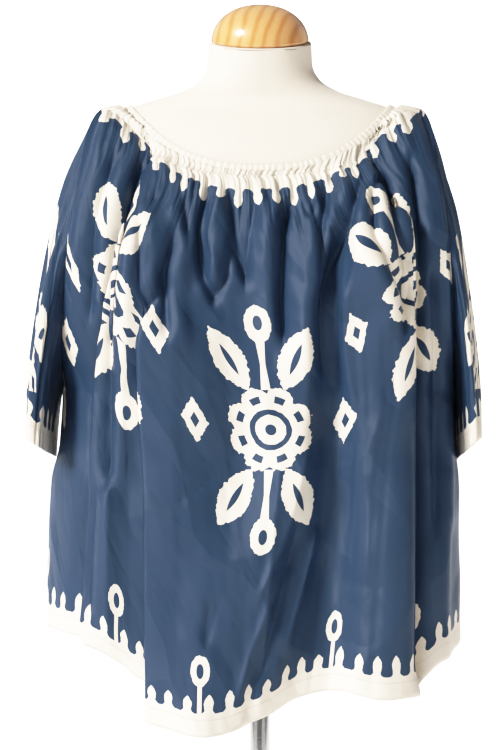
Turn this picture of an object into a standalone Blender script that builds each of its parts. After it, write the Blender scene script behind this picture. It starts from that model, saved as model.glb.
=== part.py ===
"""A gathered kaftan blouse on a limbless dress form: metres, +Z up, its front towards -Y.

The blouse is five sewn pieces: front, back, two sleeves and the elastic neck casing.
Left and right are as the picture shows them, so left is -X.
The origin is the centre of the stand's underside.
"""
import math
from collections import namedtuple

import bmesh
import bpy
import numpy as np
from mathutils import Vector
from mathutils.bvhtree import BVHTree

WALL = 0.0020             # thickness of the cloth
SEAM = 0.0012             # between the middles of two walls that are sewn edge to edge
SHOULDER_SEAM = 0.0022    # the same where they slope down like a roof
CLEAR = 0.0045            # from the form to the middle of the cloth's wall
NECK_CLEAR = 0.0021       # the same beside the casing

CASING_HEIGHT = 0.0100
CASING_THICK = 0.0026
CASING_GAP = 0.0009       # casing to form, which leaves 0.3 mm at the form's facets
CASING_REACH = 0.160      # half width of the neckline, at the shoulders
CASING_SIDE_Z = 1.399
FRONT_NECK_Z = 1.3166
BACK_NECK_Z = 1.3760
SCOOP = 2.6               # how square the neckline's curve is
NECK_FORWARD = 0.090      # how far before the middle the neckline is looked for on the form
NECK_ROUND = 0.9          # how pointed that first line is
UNDER_CASING = 0.0008     # how far the panels' upper edge stands off that line
GATHER_DEPTH = 0.0009     # half height of the gathers at the casing
GATHER_FADE = 0.12        # share of the panel's height where they have faded out
NECK_HOLD = 0.24          # share of it over which a panel leaves the neckline's shape
DENSE_START = 0.15        # share of it where the columns have taken their lower places

FRONT_COLUMNS = 42
BACK_COLUMNS = 34
GATHER_ROWS = 4           # rows that carry a ridge between each two columns
SLEEVE_ROWS = 11
LINE_STEPS = 400          # points on a line that is measured before it gets its columns
SETTLE_ROUNDS = 4         # rounds in which a row's height and its place settle together

CAP_RADIUS = 0.0583
CAP_HEIGHT = 0.0440
CAP_ROUND = 0.92          # how full the dome's shoulder is
CAP_EDGE_HEIGHT = 0.0030
CAP_EDGE = 0.0015         # how far its underside is smaller than its edge
CAP_BACK = 0.0050         # from the form's middle back to the neck's
NECK_TILT = math.radians(13.0)
NECK_TOP_Z = 1.4720
TOUCH = 0.0003            # between hard pieces that bear on each other

POLE_RADIUS = 0.0120
BASE_RADIUS = 0.1900
BASE_RIM = 0.0080
BASE_LIP = 0.0120         # width of the slope at the rim
BASE_EDGE = 0.0030        # height of the slope at the rim's top
BOSS_RADIUS = 0.0200
BOSS_HEIGHT = 0.0450
DISH_SPREAD = 1.6         # how fast the dished base runs out
DISH_FALL = 3.0           # how fast it falls
FORM_BOTTOM_Z = 0.7520

FormRing = namedtuple("FormRing", "name z half_width front back squareness")
FORM_RINGS = [
    FormRing("underside", FORM_BOTTOM_Z, 0.150, 0.098, 0.104, 2.2),
    FormRing("lower_edge", 0.760, 0.161, 0.106, 0.113, 2.2),
    FormRing("hip", 0.810, 0.163, 0.109, 0.116, 2.2),
    FormRing("high_hip", 0.880, 0.147, 0.102, 0.104, 2.2),
    FormRing("below_waist", 0.960, 0.123, 0.094, 0.086, 2.2),
    FormRing("waist", 1.020, 0.115, 0.092, 0.079, 2.2),
    FormRing("ribs", 1.100, 0.127, 0.102, 0.086, 2.2),
    FormRing("under_bust", 1.160, 0.141, 0.113, 0.094, 2.2),
    FormRing("bust", 1.220, 0.158, 0.121, 0.103, 2.2),
    FormRing("chest", 1.280, 0.177, 0.105, 0.107, 2.3),
    FormRing("arm_cap", 1.325, 0.187, 0.088, 0.102, 2.3),
    FormRing("cap_top", 1.358, 0.185, 0.072, 0.092, 2.2),
    FormRing("shoulder_end", 1.379, 0.176, 0.059, 0.080, 2.1),
    FormRing("shoulder", 1.393, 0.157, 0.048, 0.067, 2.0),
    FormRing("shoulder_mid", 1.404, 0.124, 0.045, 0.062, 2.0),
    FormRing("neck_side", 1.414, 0.093, 0.047, 0.062, 2.0),
    FormRing("neck_base", 1.428, 0.071, 0.050, 0.064, 2.0),
    FormRing("neck", 1.447, 0.0624, 0.053, 0.066, 2.0),
    FormRing("neck_top", 1.500, 0.0605, 0.056, 0.065, 2.0),
]
FORM_LEVELS = 30
FORM_AROUND = 40

# The seam that ends a body panel at the side: shoulder, armhole, underarm, side seam.
# drop is the share of the panel's height, and out is the distance from the middle.
SeamPoint = namedtuple("SeamPoint", "name drop left_out right_out left_z right_z")
SIDE_SEAM = [
    SeamPoint("neckline", 0.000, 0.1660, 0.1660, 1.3990, 1.3990),
    SeamPoint("shoulder_end", 0.035, 0.1890, 0.1930, 1.3935, 1.3925),
    SeamPoint("armhole_top", 0.080, 0.2030, 0.2035, 1.3690, 1.3690),
    SeamPoint("armhole_chest", 0.145, 0.2095, 0.2085, 1.3292, 1.3292),
    SeamPoint("armhole_upper", 0.215, 0.2165, 0.2155, 1.2836, 1.2836),
    SeamPoint("armhole_middle", 0.290, 0.2240, 0.2200, 1.2300, 1.2300),
    SeamPoint("armhole_lower", 0.385, 0.2295, 0.2245, 1.1600, 1.1600),
    SeamPoint("armhole_turn", 0.445, 0.2318, 0.2268, 1.1100, 1.1100),
    SeamPoint("armhole_under", 0.480, 0.2330, 0.2280, 1.0800, 1.0800),
    SeamPoint("underarm", 0.510, 0.2335, 0.2285, 1.0600, 1.0600),
    SeamPoint("below_cuff", 0.610, 0.2385, 0.2300, 0.9950, 0.9950),
    SeamPoint("side", 0.680, 0.2480, 0.2345, 0.9500, 0.9500),
    SeamPoint("side_hip", 0.820, 0.2520, 0.2370, 0.8700, 0.8700),
    SeamPoint("hem", 1.000, 0.2544, 0.2380, 0.7800, 0.7590),
]
SHOULDER_DROP = 0.035
UNDERARM_DROP = 0.510
PANEL_DROPS = [0.0, 0.018, 0.035, 0.080, 0.125, 0.170, 0.215, 0.260, 0.305, 0.350, 0.385,
               0.418, 0.445, 0.465, 0.485, 0.510, 0.560, 0.610, 0.680, 0.760, 0.840, 0.920, 1.0]

# Level sections of the whole body of cloth. Above the underarm left and right run on past the
# armhole, into the room that the sleeves take, so that the panels leave them at a slant.
Section = namedtuple("Section", "name z left right front back squareness")
SECTIONS = [
    Section("lowest_hem", 0.640, 0.2550, 0.2385, 0.154, 0.148, 2.3),
    Section("side_hem", 0.770, 0.2545, 0.2381, 0.150, 0.144, 2.3),
    Section("hip", 0.870, 0.2520, 0.2370, 0.146, 0.138, 2.4),
    Section("waist", 0.950, 0.2480, 0.2345, 0.142, 0.133, 2.4),
    Section("below_cuff", 0.995, 0.2385, 0.2300, 0.140, 0.130, 2.4),
    Section("underarm", 1.060, 0.2335, 0.2285, 0.139, 0.127, 2.5),
    Section("armhole_under", 1.080, 0.2390, 0.2335, 0.139, 0.126, 2.5),
    Section("armhole_turn", 1.110, 0.2540, 0.2490, 0.139, 0.125, 2.5),
    Section("armhole_lower", 1.160, 0.2720, 0.2670, 0.138, 0.123, 2.5),
    Section("armhole_middle", 1.230, 0.2790, 0.2740, 0.136, 0.120, 2.5),
    Section("chest", 1.284, 0.2600, 0.2570, 0.126, 0.116, 2.4),
    Section("high_chest", 1.329, 0.2330, 0.2315, 0.112, 0.108, 2.3),
    Section("shoulder", 1.369, 0.2110, 0.2115, 0.090, 0.090, 2.2),
    Section("shoulder_end", 1.393, 0.1890, 0.1930, 0.060, 0.062, 2.0),
    Section("neckline", 1.399, 0.1660, 0.1660, 0.045, 0.050, 2.0),
]

# The hem's height across a panel, from the left side seam to the right one.
HemPoint = namedtuple("HemPoint", "name across z")
FRONT_HEM = [
    HemPoint("left_side", 0.00, 0.780),
    HemPoint("before_first_lap", 0.11, 0.774),
    HemPoint("before_second_lap", 0.21, 0.742),
    HemPoint("after_second_lap", 0.29, 0.684),
    HemPoint("lowest", 0.37, 0.670),
    HemPoint("middle", 0.50, 0.688),
    HemPoint("rise", 0.58, 0.709),
    HemPoint("high", 0.68, 0.717),
    HemPoint("second_low", 0.80, 0.708),
    HemPoint("right_turn", 0.88, 0.716),
    HemPoint("right_vent", 0.94, 0.742),
    HemPoint("right_side", 1.00, 0.759),
]
BACK_HEM = [
    HemPoint("left_side", 0.00, 0.780),
    HemPoint("left_turn", 0.12, 0.750),
    HemPoint("left_low", 0.32, 0.700),
    HemPoint("middle", 0.50, 0.690),
    HemPoint("right_low", 0.70, 0.702),
    HemPoint("right_turn", 0.90, 0.738),
    HemPoint("right_side", 1.00, 0.759),
]

# A fold runs down through three places (x, z). depth is outwards when positive, inwards when
# negative. lap is how far the cloth doubles back on itself, its right layer on top. across is
# the share of the panel's width that follows a long fold all the way down.
Fold = namedtuple("Fold", "name across x_top z_top x_mid z_mid x_low z_low depth width lap")
FRONT_FOLDS = [
    Fold("first_lap", 0.13, -0.150, 1.290, -0.178, 1.120, -0.202, 0.720, 0.014, 0.028, 0.013),
    Fold("second_lap", 0.27, -0.132, 1.180, -0.131, 0.950, -0.131, 0.600, 0.023, 0.034, 0.019),
    Fold("left_swell", None, -0.085, 1.270, -0.085, 1.000, -0.080, 0.600, 0.010, 0.045, 0.0),
    Fold("hook", None, -0.060, 1.290, -0.066, 1.235, -0.050, 1.190, -0.007, 0.014, 0.0),
    Fold("middle_crease", None, -0.030, 1.290, -0.030, 1.250, -0.018, 1.210, -0.006, 0.012, 0.0),
    Fold("middle_valley", 0.55, 0.040, 1.200, 0.062, 1.020, 0.018, 0.600, -0.020, 0.026, 0.0),
    Fold("middle_ridge", None, 0.060, 1.280, 0.112, 1.050, 0.090, 0.600, 0.009, 0.034, 0.0),
    Fold("long_diagonal", None, 0.103, 1.290, 0.085, 1.210, 0.070, 1.120, -0.007, 0.016, 0.0),
    Fold("right_ridge", None, 0.128, 1.280, 0.124, 1.190, 0.105, 1.130, 0.010, 0.020, 0.0),
    Fold("right_crease", None, 0.150, 1.290, 0.155, 1.190, 0.165, 1.120, -0.010, 0.014, 0.0),
    Fold("right_valley", 0.84, 0.182, 1.250, 0.184, 1.000, 0.184, 0.600, -0.022, 0.018, 0.0),
    Fold("right_edge", None, 0.212, 1.150, 0.212, 0.950, 0.212, 0.600, 0.006, 0.015, 0.0),
]
BACK_FOLDS = [
    Fold("left_valley", 0.15, -0.180, 1.240, -0.184, 1.000, -0.190, 0.600, -0.016, 0.018, 0.0),
    Fold("left_ridge", None, -0.140, 1.260, -0.146, 1.000, -0.150, 0.600, 0.010, 0.024, 0.0),
    Fold("back_lap", 0.37, -0.075, 1.220, -0.082, 1.000, -0.090, 0.600, 0.017, 0.030, 0.016),
    Fold("centre_swell", None, 0.010, 1.280, 0.005, 1.000, 0.000, 0.600, 0.010, 0.040, 0.0),
    Fold("centre_valley", 0.62, 0.060, 1.180, 0.070, 1.000, 0.074, 0.600, -0.015, 0.022, 0.0),
    Fold("right_ridge", None, 0.110, 1.260, 0.122, 1.000, 0.126, 0.600, 0.011, 0.026, 0.0),
    Fold("right_valley", 0.84, 0.165, 1.240, 0.172, 1.000, 0.176, 0.600, -0.016, 0.018, 0.0),
]
FOLD_FADE = 0.070         # height over which a fold grows in and dies away
LAP_RELAX = 0.085         # width over which the upper layer of a lap settles back
GUIDE_START = 0.30        # share of the panel's height where the long folds take their places
GUIDE_ROOM = 0.45         # least share of its even place that a long fold keeps from an end
EDGE_HOLD = 0.030         # width beside a side seam where the folds die away

# Where the columns of cloth stand closer, so that the laps stay round.
DenseSpot = namedtuple("DenseSpot", "across spread gain")
FRONT_DENSE = [
    DenseSpot(0.13, 0.035, 1.4),
    DenseSpot(0.27, 0.035, 2.6),
    DenseSpot(0.84, 0.040, 0.6),
]
BACK_DENSE = [DenseSpot(0.37, 0.040, 1.8)]

# A sleeve hangs flat at the side: its cuff is a narrow loop that runs from front to back.
Cuff = namedtuple("Cuff", "side middle half_thick half_length z slope")
CUFFS = [
    Cuff(-1, 0.2612, 0.0166, 0.112, 0.9880, 0.10),
    Cuff(1, 0.2485, 0.0125, 0.110, 0.9860, 0.14),
]
SLEEVE_START = 0.0018     # from the armhole's edge out to the sleeve's, at the shoulder
SLEEVE_TURN = 0.68        # share of the sleeve's outward run made by its bend
SLEEVE_SAG = 0.27         # share of its fall made by then
CUFF_FLAT = 0.8           # how flat the cuff's two faces are
CUFF_POINTED = 0.9        # how pointed its two ends are
PART_START = 0.31         # share of the way to the underarm where sleeve and panel part more
PART_END = 0.94           # share where they are a wall and a seam apart

BLUE = (0.050, 0.095, 0.190, 1.0)
CREAM = (0.900, 0.870, 0.800, 1.0)
COVER = (0.880, 0.840, 0.770, 1.0)
PINE = (0.760, 0.480, 0.210, 1.0)
CHROME = (0.720, 0.720, 0.730, 1.0)


def clear_scene():
    for item in list(bpy.data.objects):
        bpy.data.objects.remove(item, do_unlink=True)


def material(name, colour, roughness, metallic):
    made = bpy.data.materials.new(name)
    made.use_nodes = True
    shader = made.node_tree.nodes["Principled BSDF"]
    shader.inputs["Base Color"].default_value = colour
    shader.inputs["Roughness"].default_value = roughness
    shader.inputs["Metallic"].default_value = metallic
    return made


def add_object(name, mesh, collection, finish):
    item = bpy.data.objects.new(name, mesh)
    collection.objects.link(item)
    mesh.materials.append(finish)
    mesh.shade_smooth()
    return item


def smooth(knots, values, at):
    """Read a smooth curve through (knots, values) that never overshoots its points."""
    knots = np.asarray(knots, float)
    values = np.asarray(values, float)
    step = np.diff(knots)
    slope = np.diff(values) / step
    tangent = np.zeros_like(values)
    rising = slope[:-1] * slope[1:] > 0.0
    safe = np.where(rising, slope[:-1] + slope[1:], 1.0)
    tangent[1:-1] = np.where(rising, 2.0 * slope[:-1] * slope[1:] / safe, 0.0)
    tangent[0] = slope[0]
    tangent[-1] = slope[-1]
    at = np.clip(np.asarray(at, float), knots[0], knots[-1])
    cell = np.clip(np.searchsorted(knots, at, side="right") - 1, 0, len(step) - 1)
    width = step[cell]
    u = (at - knots[cell]) / width
    return ((2 * u**3 - 3 * u**2 + 1) * values[cell]
            + (u**3 - 2 * u**2 + u) * width * tangent[cell]
            + (3 * u**2 - 2 * u**3) * values[cell + 1]
            + (u**3 - u**2) * width * tangent[cell + 1])


def column(table, name):
    return [getattr(row, name) for row in table]


def ease(value):
    value = np.clip(value, 0.0, 1.0)
    return value * value * (3.0 - 2.0 * value)


def mesh_from_rows(name, rows, closed):
    """Skin rows of points; a row may have twice as many steps as the next one."""
    form = bmesh.new()
    made = [[form.verts.new(point) for point in row] for row in rows]
    for upper, lower in zip(made, made[1:]):
        steps = len(lower) if closed else len(lower) - 1
        doubled = len(upper) > len(lower)
        for i in range(steps):
            j = (i + 1) % len(lower)
            if doubled:
                a, b, c = upper[2 * i], upper[2 * i + 1], upper[2 * j] if closed else upper[2 * i + 2]
                form.faces.new((a, lower[i], b))
                form.faces.new((b, lower[i], lower[j]))
                form.faces.new((b, lower[j], c))
            else:
                form.faces.new((upper[i], lower[i], lower[j], upper[j]))
    bmesh.ops.triangulate(form, faces=form.faces[:], quad_method="SHORT_EDGE")
    bmesh.ops.recalc_face_normals(form, faces=form.faces[:])
    mesh = bpy.data.meshes.new(name)
    form.to_mesh(mesh)
    form.free()
    return mesh


def add_cloth(name, rows, closed, collection, finish):
    item = add_object(name, mesh_from_rows(name, rows, closed), collection, finish)
    wall = item.modifiers.new("wall", "SOLIDIFY")
    wall.thickness = WALL
    wall.offset = 0.0
    return item


def form_ring(place):
    """One level of the dress form; place counts along FORM_RINGS."""
    steps = range(len(FORM_RINGS))
    z, half_width, front, back, squareness = (
        float(smooth(steps, column(FORM_RINGS, key), place))
        for key in ("z", "half_width", "front", "back", "squareness"))
    points = []
    for i in range(FORM_AROUND):
        angle = 2.0 * math.pi * i / FORM_AROUND
        power = 2.0 / squareness
        x = half_width * math.copysign(abs(math.cos(angle)) ** power, math.cos(angle))
        depth = back if math.sin(angle) > 0.0 else front
        y = depth * math.copysign(abs(math.sin(angle)) ** power, math.sin(angle))
        points.append((x, y, z))
    return points


def build_form(collection, finish):
    places = np.linspace(0.0, len(FORM_RINGS) - 1, FORM_LEVELS)
    mesh = mesh_from_rows("form", [form_ring(place) for place in places], closed=True)
    form = bmesh.new()
    form.from_mesh(mesh)
    cut_through = form.verts[:] + form.edges[:] + form.faces[:]
    bmesh.ops.bisect_plane(form, geom=cut_through, plane_co=(0.0, 0.0, NECK_TOP_Z),
                           plane_no=(0.0, -math.sin(NECK_TILT), math.cos(NECK_TILT)),
                           clear_outer=True)
    open_edges = [edge for edge in form.edges if edge.is_boundary]
    bmesh.ops.holes_fill(form, edges=open_edges, sides=0)
    bmesh.ops.recalc_face_normals(form, faces=form.faces[:])
    form.to_mesh(mesh)
    tree = BVHTree.FromBMesh(form)
    form.free()
    return add_object("form", mesh, collection, finish), tree


def turned(name, outline, collection, finish, steps=40):
    """Turn an outline of (radius, height) points that runs down its outer side."""
    mesh = bpy.data.meshes.new(name)
    edges = [(i, i + 1) for i in range(len(outline) - 1)]
    mesh.from_pydata([(radius, 0.0, height) for radius, height in outline], edges, [])
    item = add_object(name, mesh, collection, finish)
    turn = item.modifiers.new("turn", "SCREW")
    turn.steps = steps
    turn.render_steps = steps
    turn.use_merge_vertices = True
    turn.merge_threshold = 0.00005
    return item


def build_stand(collection, pine, chrome):
    dome = [(0.0, CAP_HEIGHT)]
    for i in range(1, 10):
        angle = math.radians(90.0 - 10.0 * i)
        dome.append((CAP_RADIUS * math.cos(angle) ** CAP_ROUND, CAP_HEIGHT * math.sin(angle)))
    dome[-1] = (CAP_RADIUS, CAP_EDGE_HEIGHT)
    dome += [(CAP_RADIUS - CAP_EDGE, 0.0), (0.0, 0.0)]
    cap = turned("neck_cap", dome, collection, pine)
    cap.location = (0.0, CAP_BACK - TOUCH * math.sin(NECK_TILT),
                    NECK_TOP_Z + CAP_BACK * math.tan(NECK_TILT) + TOUCH * math.cos(NECK_TILT))
    cap.rotation_euler = (NECK_TILT, 0.0, 0.0)

    base = [(0.0, BOSS_HEIGHT), (BOSS_RADIUS, BOSS_HEIGHT)]
    for share in (0.15, 0.4, 0.7, 1.0):
        radius = BOSS_RADIUS + (BASE_RADIUS - BASE_LIP - BOSS_RADIUS) * share ** DISH_SPREAD
        base.append((radius, BASE_RIM + (BOSS_HEIGHT - BASE_RIM) * (1.0 - share) ** DISH_FALL))
    base += [(BASE_RADIUS, BASE_RIM - BASE_EDGE), (BASE_RADIUS, 0.0), (0.0, 0.0)]
    turned("base", base, collection, chrome, steps=48)

    length = FORM_BOTTOM_Z - BOSS_HEIGHT - 2.0 * TOUCH
    pole = bmesh.new()
    bmesh.ops.create_cone(pole, cap_ends=True, segments=32, radius1=POLE_RADIUS,
                          radius2=POLE_RADIUS, depth=length)
    mesh = bpy.data.meshes.new("pole")
    pole.to_mesh(mesh)
    pole.free()
    item = add_object("pole", mesh, collection, chrome)
    item.location.z = BOSS_HEIGHT + TOUCH + length / 2.0


def keep_clear(point, tree, gap):
    """Move a point out along the form's surface normal until it is a gap away from it."""
    place, normal, _, _ = tree.find_nearest(point)
    away = (Vector(point) - place).dot(normal)
    if away < gap:
        return place + normal * gap
    return Vector(point)


def shares(count, dense):
    """Where the columns stand across a panel, from 0 to 1, closer at the dense spots."""
    fine = np.linspace(0.0, 1.0, 2 * LINE_STEPS + 1)
    density = 1.0 + sum(d.gain * np.exp(-((fine - d.across) / d.spread) ** 2) for d in dense)
    total = np.concatenate([[0.0], np.cumsum((density[1:] + density[:-1]) / 2.0)])
    return np.interp(np.linspace(0.0, total[-1], count + 1), total, fine)


def neckline(facing, across, tree):
    """Points, normals and away-from-neck directions of the casing's middle line.

    facing is -1 for the front half and 1 for the back half.
    """
    angle = np.linspace(0.0, math.pi, LINE_STEPS + 1)
    x = -CASING_REACH * np.cos(angle)
    middle_z = FRONT_NECK_Z if facing < 0 else BACK_NECK_Z
    fall = 1.0 - np.abs(x / CASING_REACH) ** SCOOP
    z = CASING_SIDE_Z + (middle_z - CASING_SIDE_Z) * fall
    y = facing * NECK_FORWARD * np.sin(angle).clip(0.0) ** NECK_ROUND
    rests = [tree.find_nearest(p)[:2] for p in zip(x, y, z)]
    line = np.array([place + normal * CASING_GAP for place, normal in rests])
    line[[0, -1], 1] = 0.0
    run = np.concatenate([[0.0], np.cumsum(np.linalg.norm(np.diff(line, axis=0), axis=1))])
    at = np.asarray(across) * run[-1]
    points = np.stack([np.interp(at, run, line[:, k]) for k in range(3)], axis=1)
    ahead = np.gradient(points, axis=0)
    result = []
    for point, along in zip(points, ahead):
        _, normal, _, _ = tree.find_nearest(point)
        away = Vector(along).normalized().cross(normal) * -facing
        result.append((Vector(point), normal, away.normalized()))
    return result


def section_values(facing, z):
    """Left and right half widths, reach and squareness of the body of cloth at heights z."""
    keys = ("left", "right", "front" if facing < 0 else "back", "squareness")
    heights = column(SECTIONS, "z")
    return [smooth(heights, column(SECTIONS, key), z) for key in keys]


def section_point(facing, angle, z):
    """Where the body of cloth is at height z and at an angle round from its left side."""
    left, right, reach, squareness = section_values(facing, z)
    power = 2.0 / squareness
    wide = np.where(np.cos(angle) > 0.0, left, right)
    x = -np.sign(np.cos(angle)) * wide * np.abs(np.cos(angle)) ** power
    return x, facing * reach * np.abs(np.sin(angle)) ** power


def seam_place(side, drop):
    """Distance out, height and section angle of the side seam."""
    drops = column(SIDE_SEAM, "drop")
    out = float(smooth(drops, column(SIDE_SEAM, "left_out" if side < 0 else "right_out"), drop))
    z = float(smooth(drops, column(SIDE_SEAM, "left_z" if side < 0 else "right_z"), drop))
    left, right, _, squareness = section_values(1, z)
    share = min(1.0, out / float(left if side < 0 else right))
    if drop <= SHOULDER_DROP or drop >= UNDERARM_DROP:
        share = 1.0
    angle = math.acos(share ** (float(squareness) / 2.0))
    return out, z, angle


def seam_point(side, facing, drop):
    out, z, angle = seam_place(side, drop)
    _, _, reach, squareness = section_values(facing, z)
    forward = float(reach) * abs(math.sin(angle)) ** (2.0 / float(squareness))
    return np.array([side * out, facing * forward, z])


def fold_x(fold, z):
    return np.interp(z, [fold.z_low, fold.z_mid, fold.z_top], [fold.x_low, fold.x_mid, fold.x_top])


def fold_strength(fold, z):
    grown = ease((fold.z_top - z) / FOLD_FADE)
    return grown * ease((z - fold.z_low) / FOLD_FADE)


def add_fold(fold, distance, strength):
    """Outward and sideways shift of the cloth at a distance to the right of a fold."""
    if fold.lap == 0.0:
        return strength * fold.depth * np.exp(-((distance / fold.width) ** 2)), 0.0 * distance
    along = np.clip(distance / fold.width, -1.0, 1.0)
    rise = 0.5 + 0.5 * np.sin(0.5 * math.pi * along)
    settle = 1.0 - ease((distance - fold.width) / LAP_RELAX)
    return strength * fold.depth * rise * settle, -strength * fold.lap * np.sin(math.pi * along)


def guide_place(fold, drop, x, z, run, share):
    """How far along a row a long fold stands: evenly at the neckline, at its own x lower down."""
    even = fold.across * run[-1]
    place = np.interp(fold_x(fold, np.interp(fold.across, share, z)), x, run)
    place += (even - place) * (1.0 - ease(drop / GUIDE_START))
    least = GUIDE_ROOM * even
    most = run[-1] - GUIDE_ROOM * (run[-1] - even)
    return min(max(place, least), most)


def body_row(facing, drop, across, hem, folds):
    """One row of the front or back panel, from the left side seam to the right one."""
    left_out, left_z, left_angle = seam_place(-1, drop)
    right_out, right_z, right_angle = seam_place(1, drop)
    low_left = seam_place(-1, 1.0)[1]
    low_right = seam_place(1, 1.0)[1]
    neck_z = FRONT_NECK_Z if facing < 0 else BACK_NECK_Z
    guides = [fold for fold in folds if fold.across is not None]

    angle = left_angle + (math.pi - left_angle - right_angle) * np.linspace(0.0, 1.0, LINE_STEPS + 1)
    z = np.linspace(left_z, right_z, len(angle))
    share = np.linspace(0.0, 1.0, len(angle))
    for _ in range(SETTLE_ROUNDS):
        x, y = section_point(facing, angle, z)
        run = np.concatenate([[0.0], np.cumsum(np.hypot(np.diff(x), np.diff(y)))])
        places = [guide_place(fold, drop, x, z, run, share) for fold in guides]
        share = smooth([0.0] + places + [run[-1]],
                       [0.0] + [fold.across for fold in guides] + [1.0], run)
        part = (x + left_out) / (left_out + right_out)
        scoop = 1.0 - np.abs(2.0 * part - 1.0).clip(0.0, 1.0) ** SCOOP
        hem_sag = (smooth(column(hem, "across"), column(hem, "z"), share)
                   - low_left - (low_right - low_left) * part)
        z = (left_z + (right_z - left_z) * part + (1.0 - drop) * (neck_z - CASING_SIDE_Z) * scoop
             + drop * hem_sag)

    at = np.interp(across, share, run)
    x, y, z, along_x, along_y = (np.interp(at, run, values) for values in
                                 (x, y, z, np.gradient(x, run), np.gradient(y, run)))
    size = np.hypot(along_x, along_y)
    along_x, along_y = along_x / size, along_y / size
    outward = np.zeros_like(at)
    sideways = np.zeros_like(at)
    for fold in folds:
        if fold.across is None:
            place = np.interp(fold_x(fold, z), x, at)
        else:
            place = np.interp(fold.across, across, at)
        out, shift = add_fold(fold, at - place, fold_strength(fold, z))
        outward += out
        sideways += shift
    hold = ease(np.minimum(at, at[-1] - at) / EDGE_HOLD)
    outward *= hold
    sideways *= hold
    return np.stack([x + sideways * along_x - facing * outward * along_y,
                     y + sideways * along_y + facing * outward * along_x, z], axis=1)


def column_shares(drop, count, dense, doubled):
    """Shares of a row's columns: even at the neckline, closer at the dense spots below."""
    even = np.linspace(0.0, 1.0, count + 1)
    plain = even + (shares(count, dense) - even) * ease(drop / DENSE_START)
    if not doubled:
        return plain
    return np.interp(np.arange(2 * count + 1) / 2.0, np.arange(count + 1), plain)


def body_rows(facing, tree, hem, folds, dense, count):
    """Rows of a body panel: gathered under the casing, plain columns lower down."""
    rows = []
    for index, drop in enumerate(PANEL_DROPS):
        gathered = index < GATHER_ROWS
        across = column_shares(drop, count, dense, gathered)
        row = body_row(facing, drop, across, hem, folds)
        first = body_row(facing, 0.0, across, hem, folds)
        hold = 1.0 - ease(drop / NECK_HOLD)
        start = CASING_HEIGHT / 2.0 + SEAM
        for i, (point, normal, away) in enumerate(neckline(facing, across, tree)):
            top = point + away * start + normal * (WALL / 2.0 + UNDER_CASING)
            row[i] += (np.array(top) - first[i]) * hold
        if index > 0:
            row[[0, -1]] = [seam_point(-1, facing, drop), seam_point(1, facing, drop)]
        spread = GATHER_DEPTH * (1.0 - ease(drop / GATHER_FADE))
        clear = NECK_CLEAR + (CLEAR - NECK_CLEAR) * ease(drop / GATHER_FADE)
        points = []
        for i, point in enumerate(row):
            point = keep_clear(point, tree, clear)
            if gathered and i % 2 == 1:
                _, normal, _, _ = tree.find_nearest(point)
                point = point + normal * 2.0 * spread
            points.append(point)
        apart = SEAM if drop > SHOULDER_DROP else SHOULDER_SEAM
        for end in (0, -1):
            points[end].y += facing * apart / 2.0
        rows.append(points)
    return rows


def build_casing(collection, finish, tree):
    """The elastic casing: a closed band of four corners a column, puckered outwards."""
    half = CASING_HEIGHT / 2.0
    front = neckline(-1, column_shares(0.0, FRONT_COLUMNS, FRONT_DENSE, True), tree)
    back = neckline(1, column_shares(0.0, BACK_COLUMNS, BACK_DENSE, True), tree)
    ring = front + back[::-1][1:-1]
    corners = [[], [], [], []]
    for i, (point, normal, away) in enumerate(ring):
        pucker = 2.0 * GATHER_DEPTH * (i % 2)
        outer = point + normal * (CASING_THICK + pucker)
        corners[0].append(point - away * half)
        corners[1].append(outer - away * half)
        corners[2].append(outer + away * half)
        corners[3].append(point + away * half)
    form = bmesh.new()
    made = [[form.verts.new(point) for point in row] for row in corners]
    count = len(ring)
    for k in range(4):
        for i in range(count):
            j = (i + 1) % count
            a, b = made[k], made[(k + 1) % 4]
            form.faces.new((a[i], a[j], b[j], b[i]))
    bmesh.ops.triangulate(form, faces=form.faces[:], quad_method="SHORT_EDGE")
    bmesh.ops.recalc_face_normals(form, faces=form.faces[:])
    mesh = bpy.data.meshes.new("neck_casing")
    form.to_mesh(mesh)
    form.free()
    add_object("neck_casing", mesh, collection, finish)


def sleeve_rows(cuff):
    """Rows of a sleeve from the armhole down to the cuff; each row is a closed loop."""
    side = cuff.side
    drops = [d for d in PANEL_DROPS if SHOULDER_DROP <= d <= UNDERARM_DROP]
    front = [seam_point(side, -1, d) for d in drops]
    back = [seam_point(side, 1, d) for d in drops]
    loop = front + back[::-1][1:-1]
    half = len(front) - 1
    run = np.concatenate([[0.0], np.cumsum(np.linalg.norm(np.diff(front, axis=0), axis=1))])
    first = list(run / run[-1])
    turns = first + [2.0 - place for place in first[::-1][1:-1]]
    rows = []
    for r in range(SLEEVE_ROWS + 1):
        u = r / SLEEVE_ROWS
        row = []
        for start, around in zip(loop, turns):
            angle = math.pi * around
            facing = -1.0 if around <= 1.0 else 1.0
            thick = math.copysign(abs(math.cos(angle)) ** CUFF_FLAT, math.cos(angle))
            end = np.array([side * (cuff.middle + cuff.half_thick * thick),
                            facing * cuff.half_length * abs(math.sin(angle)) ** CUFF_POINTED, 0.0])
            end[2] = cuff.z - cuff.slope * end[1]
            turn = around if around <= 1.0 else 2.0 - around
            inner = ease((turn - PART_START) / (PART_END - PART_START))
            apart = SLEEVE_START + (WALL + SEAM - SLEEVE_START) * inner
            begin = start + np.array([side * apart, 0.0, 0.0])
            bend = begin + (end - begin) * np.array([SLEEVE_TURN, SLEEVE_TURN, SLEEVE_SAG])
            point = (1 - u) ** 2 * begin + 2 * u * (1 - u) * bend + u * u * end
            row.append(Vector(point))
        rows.append(row)
    return rows


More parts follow.
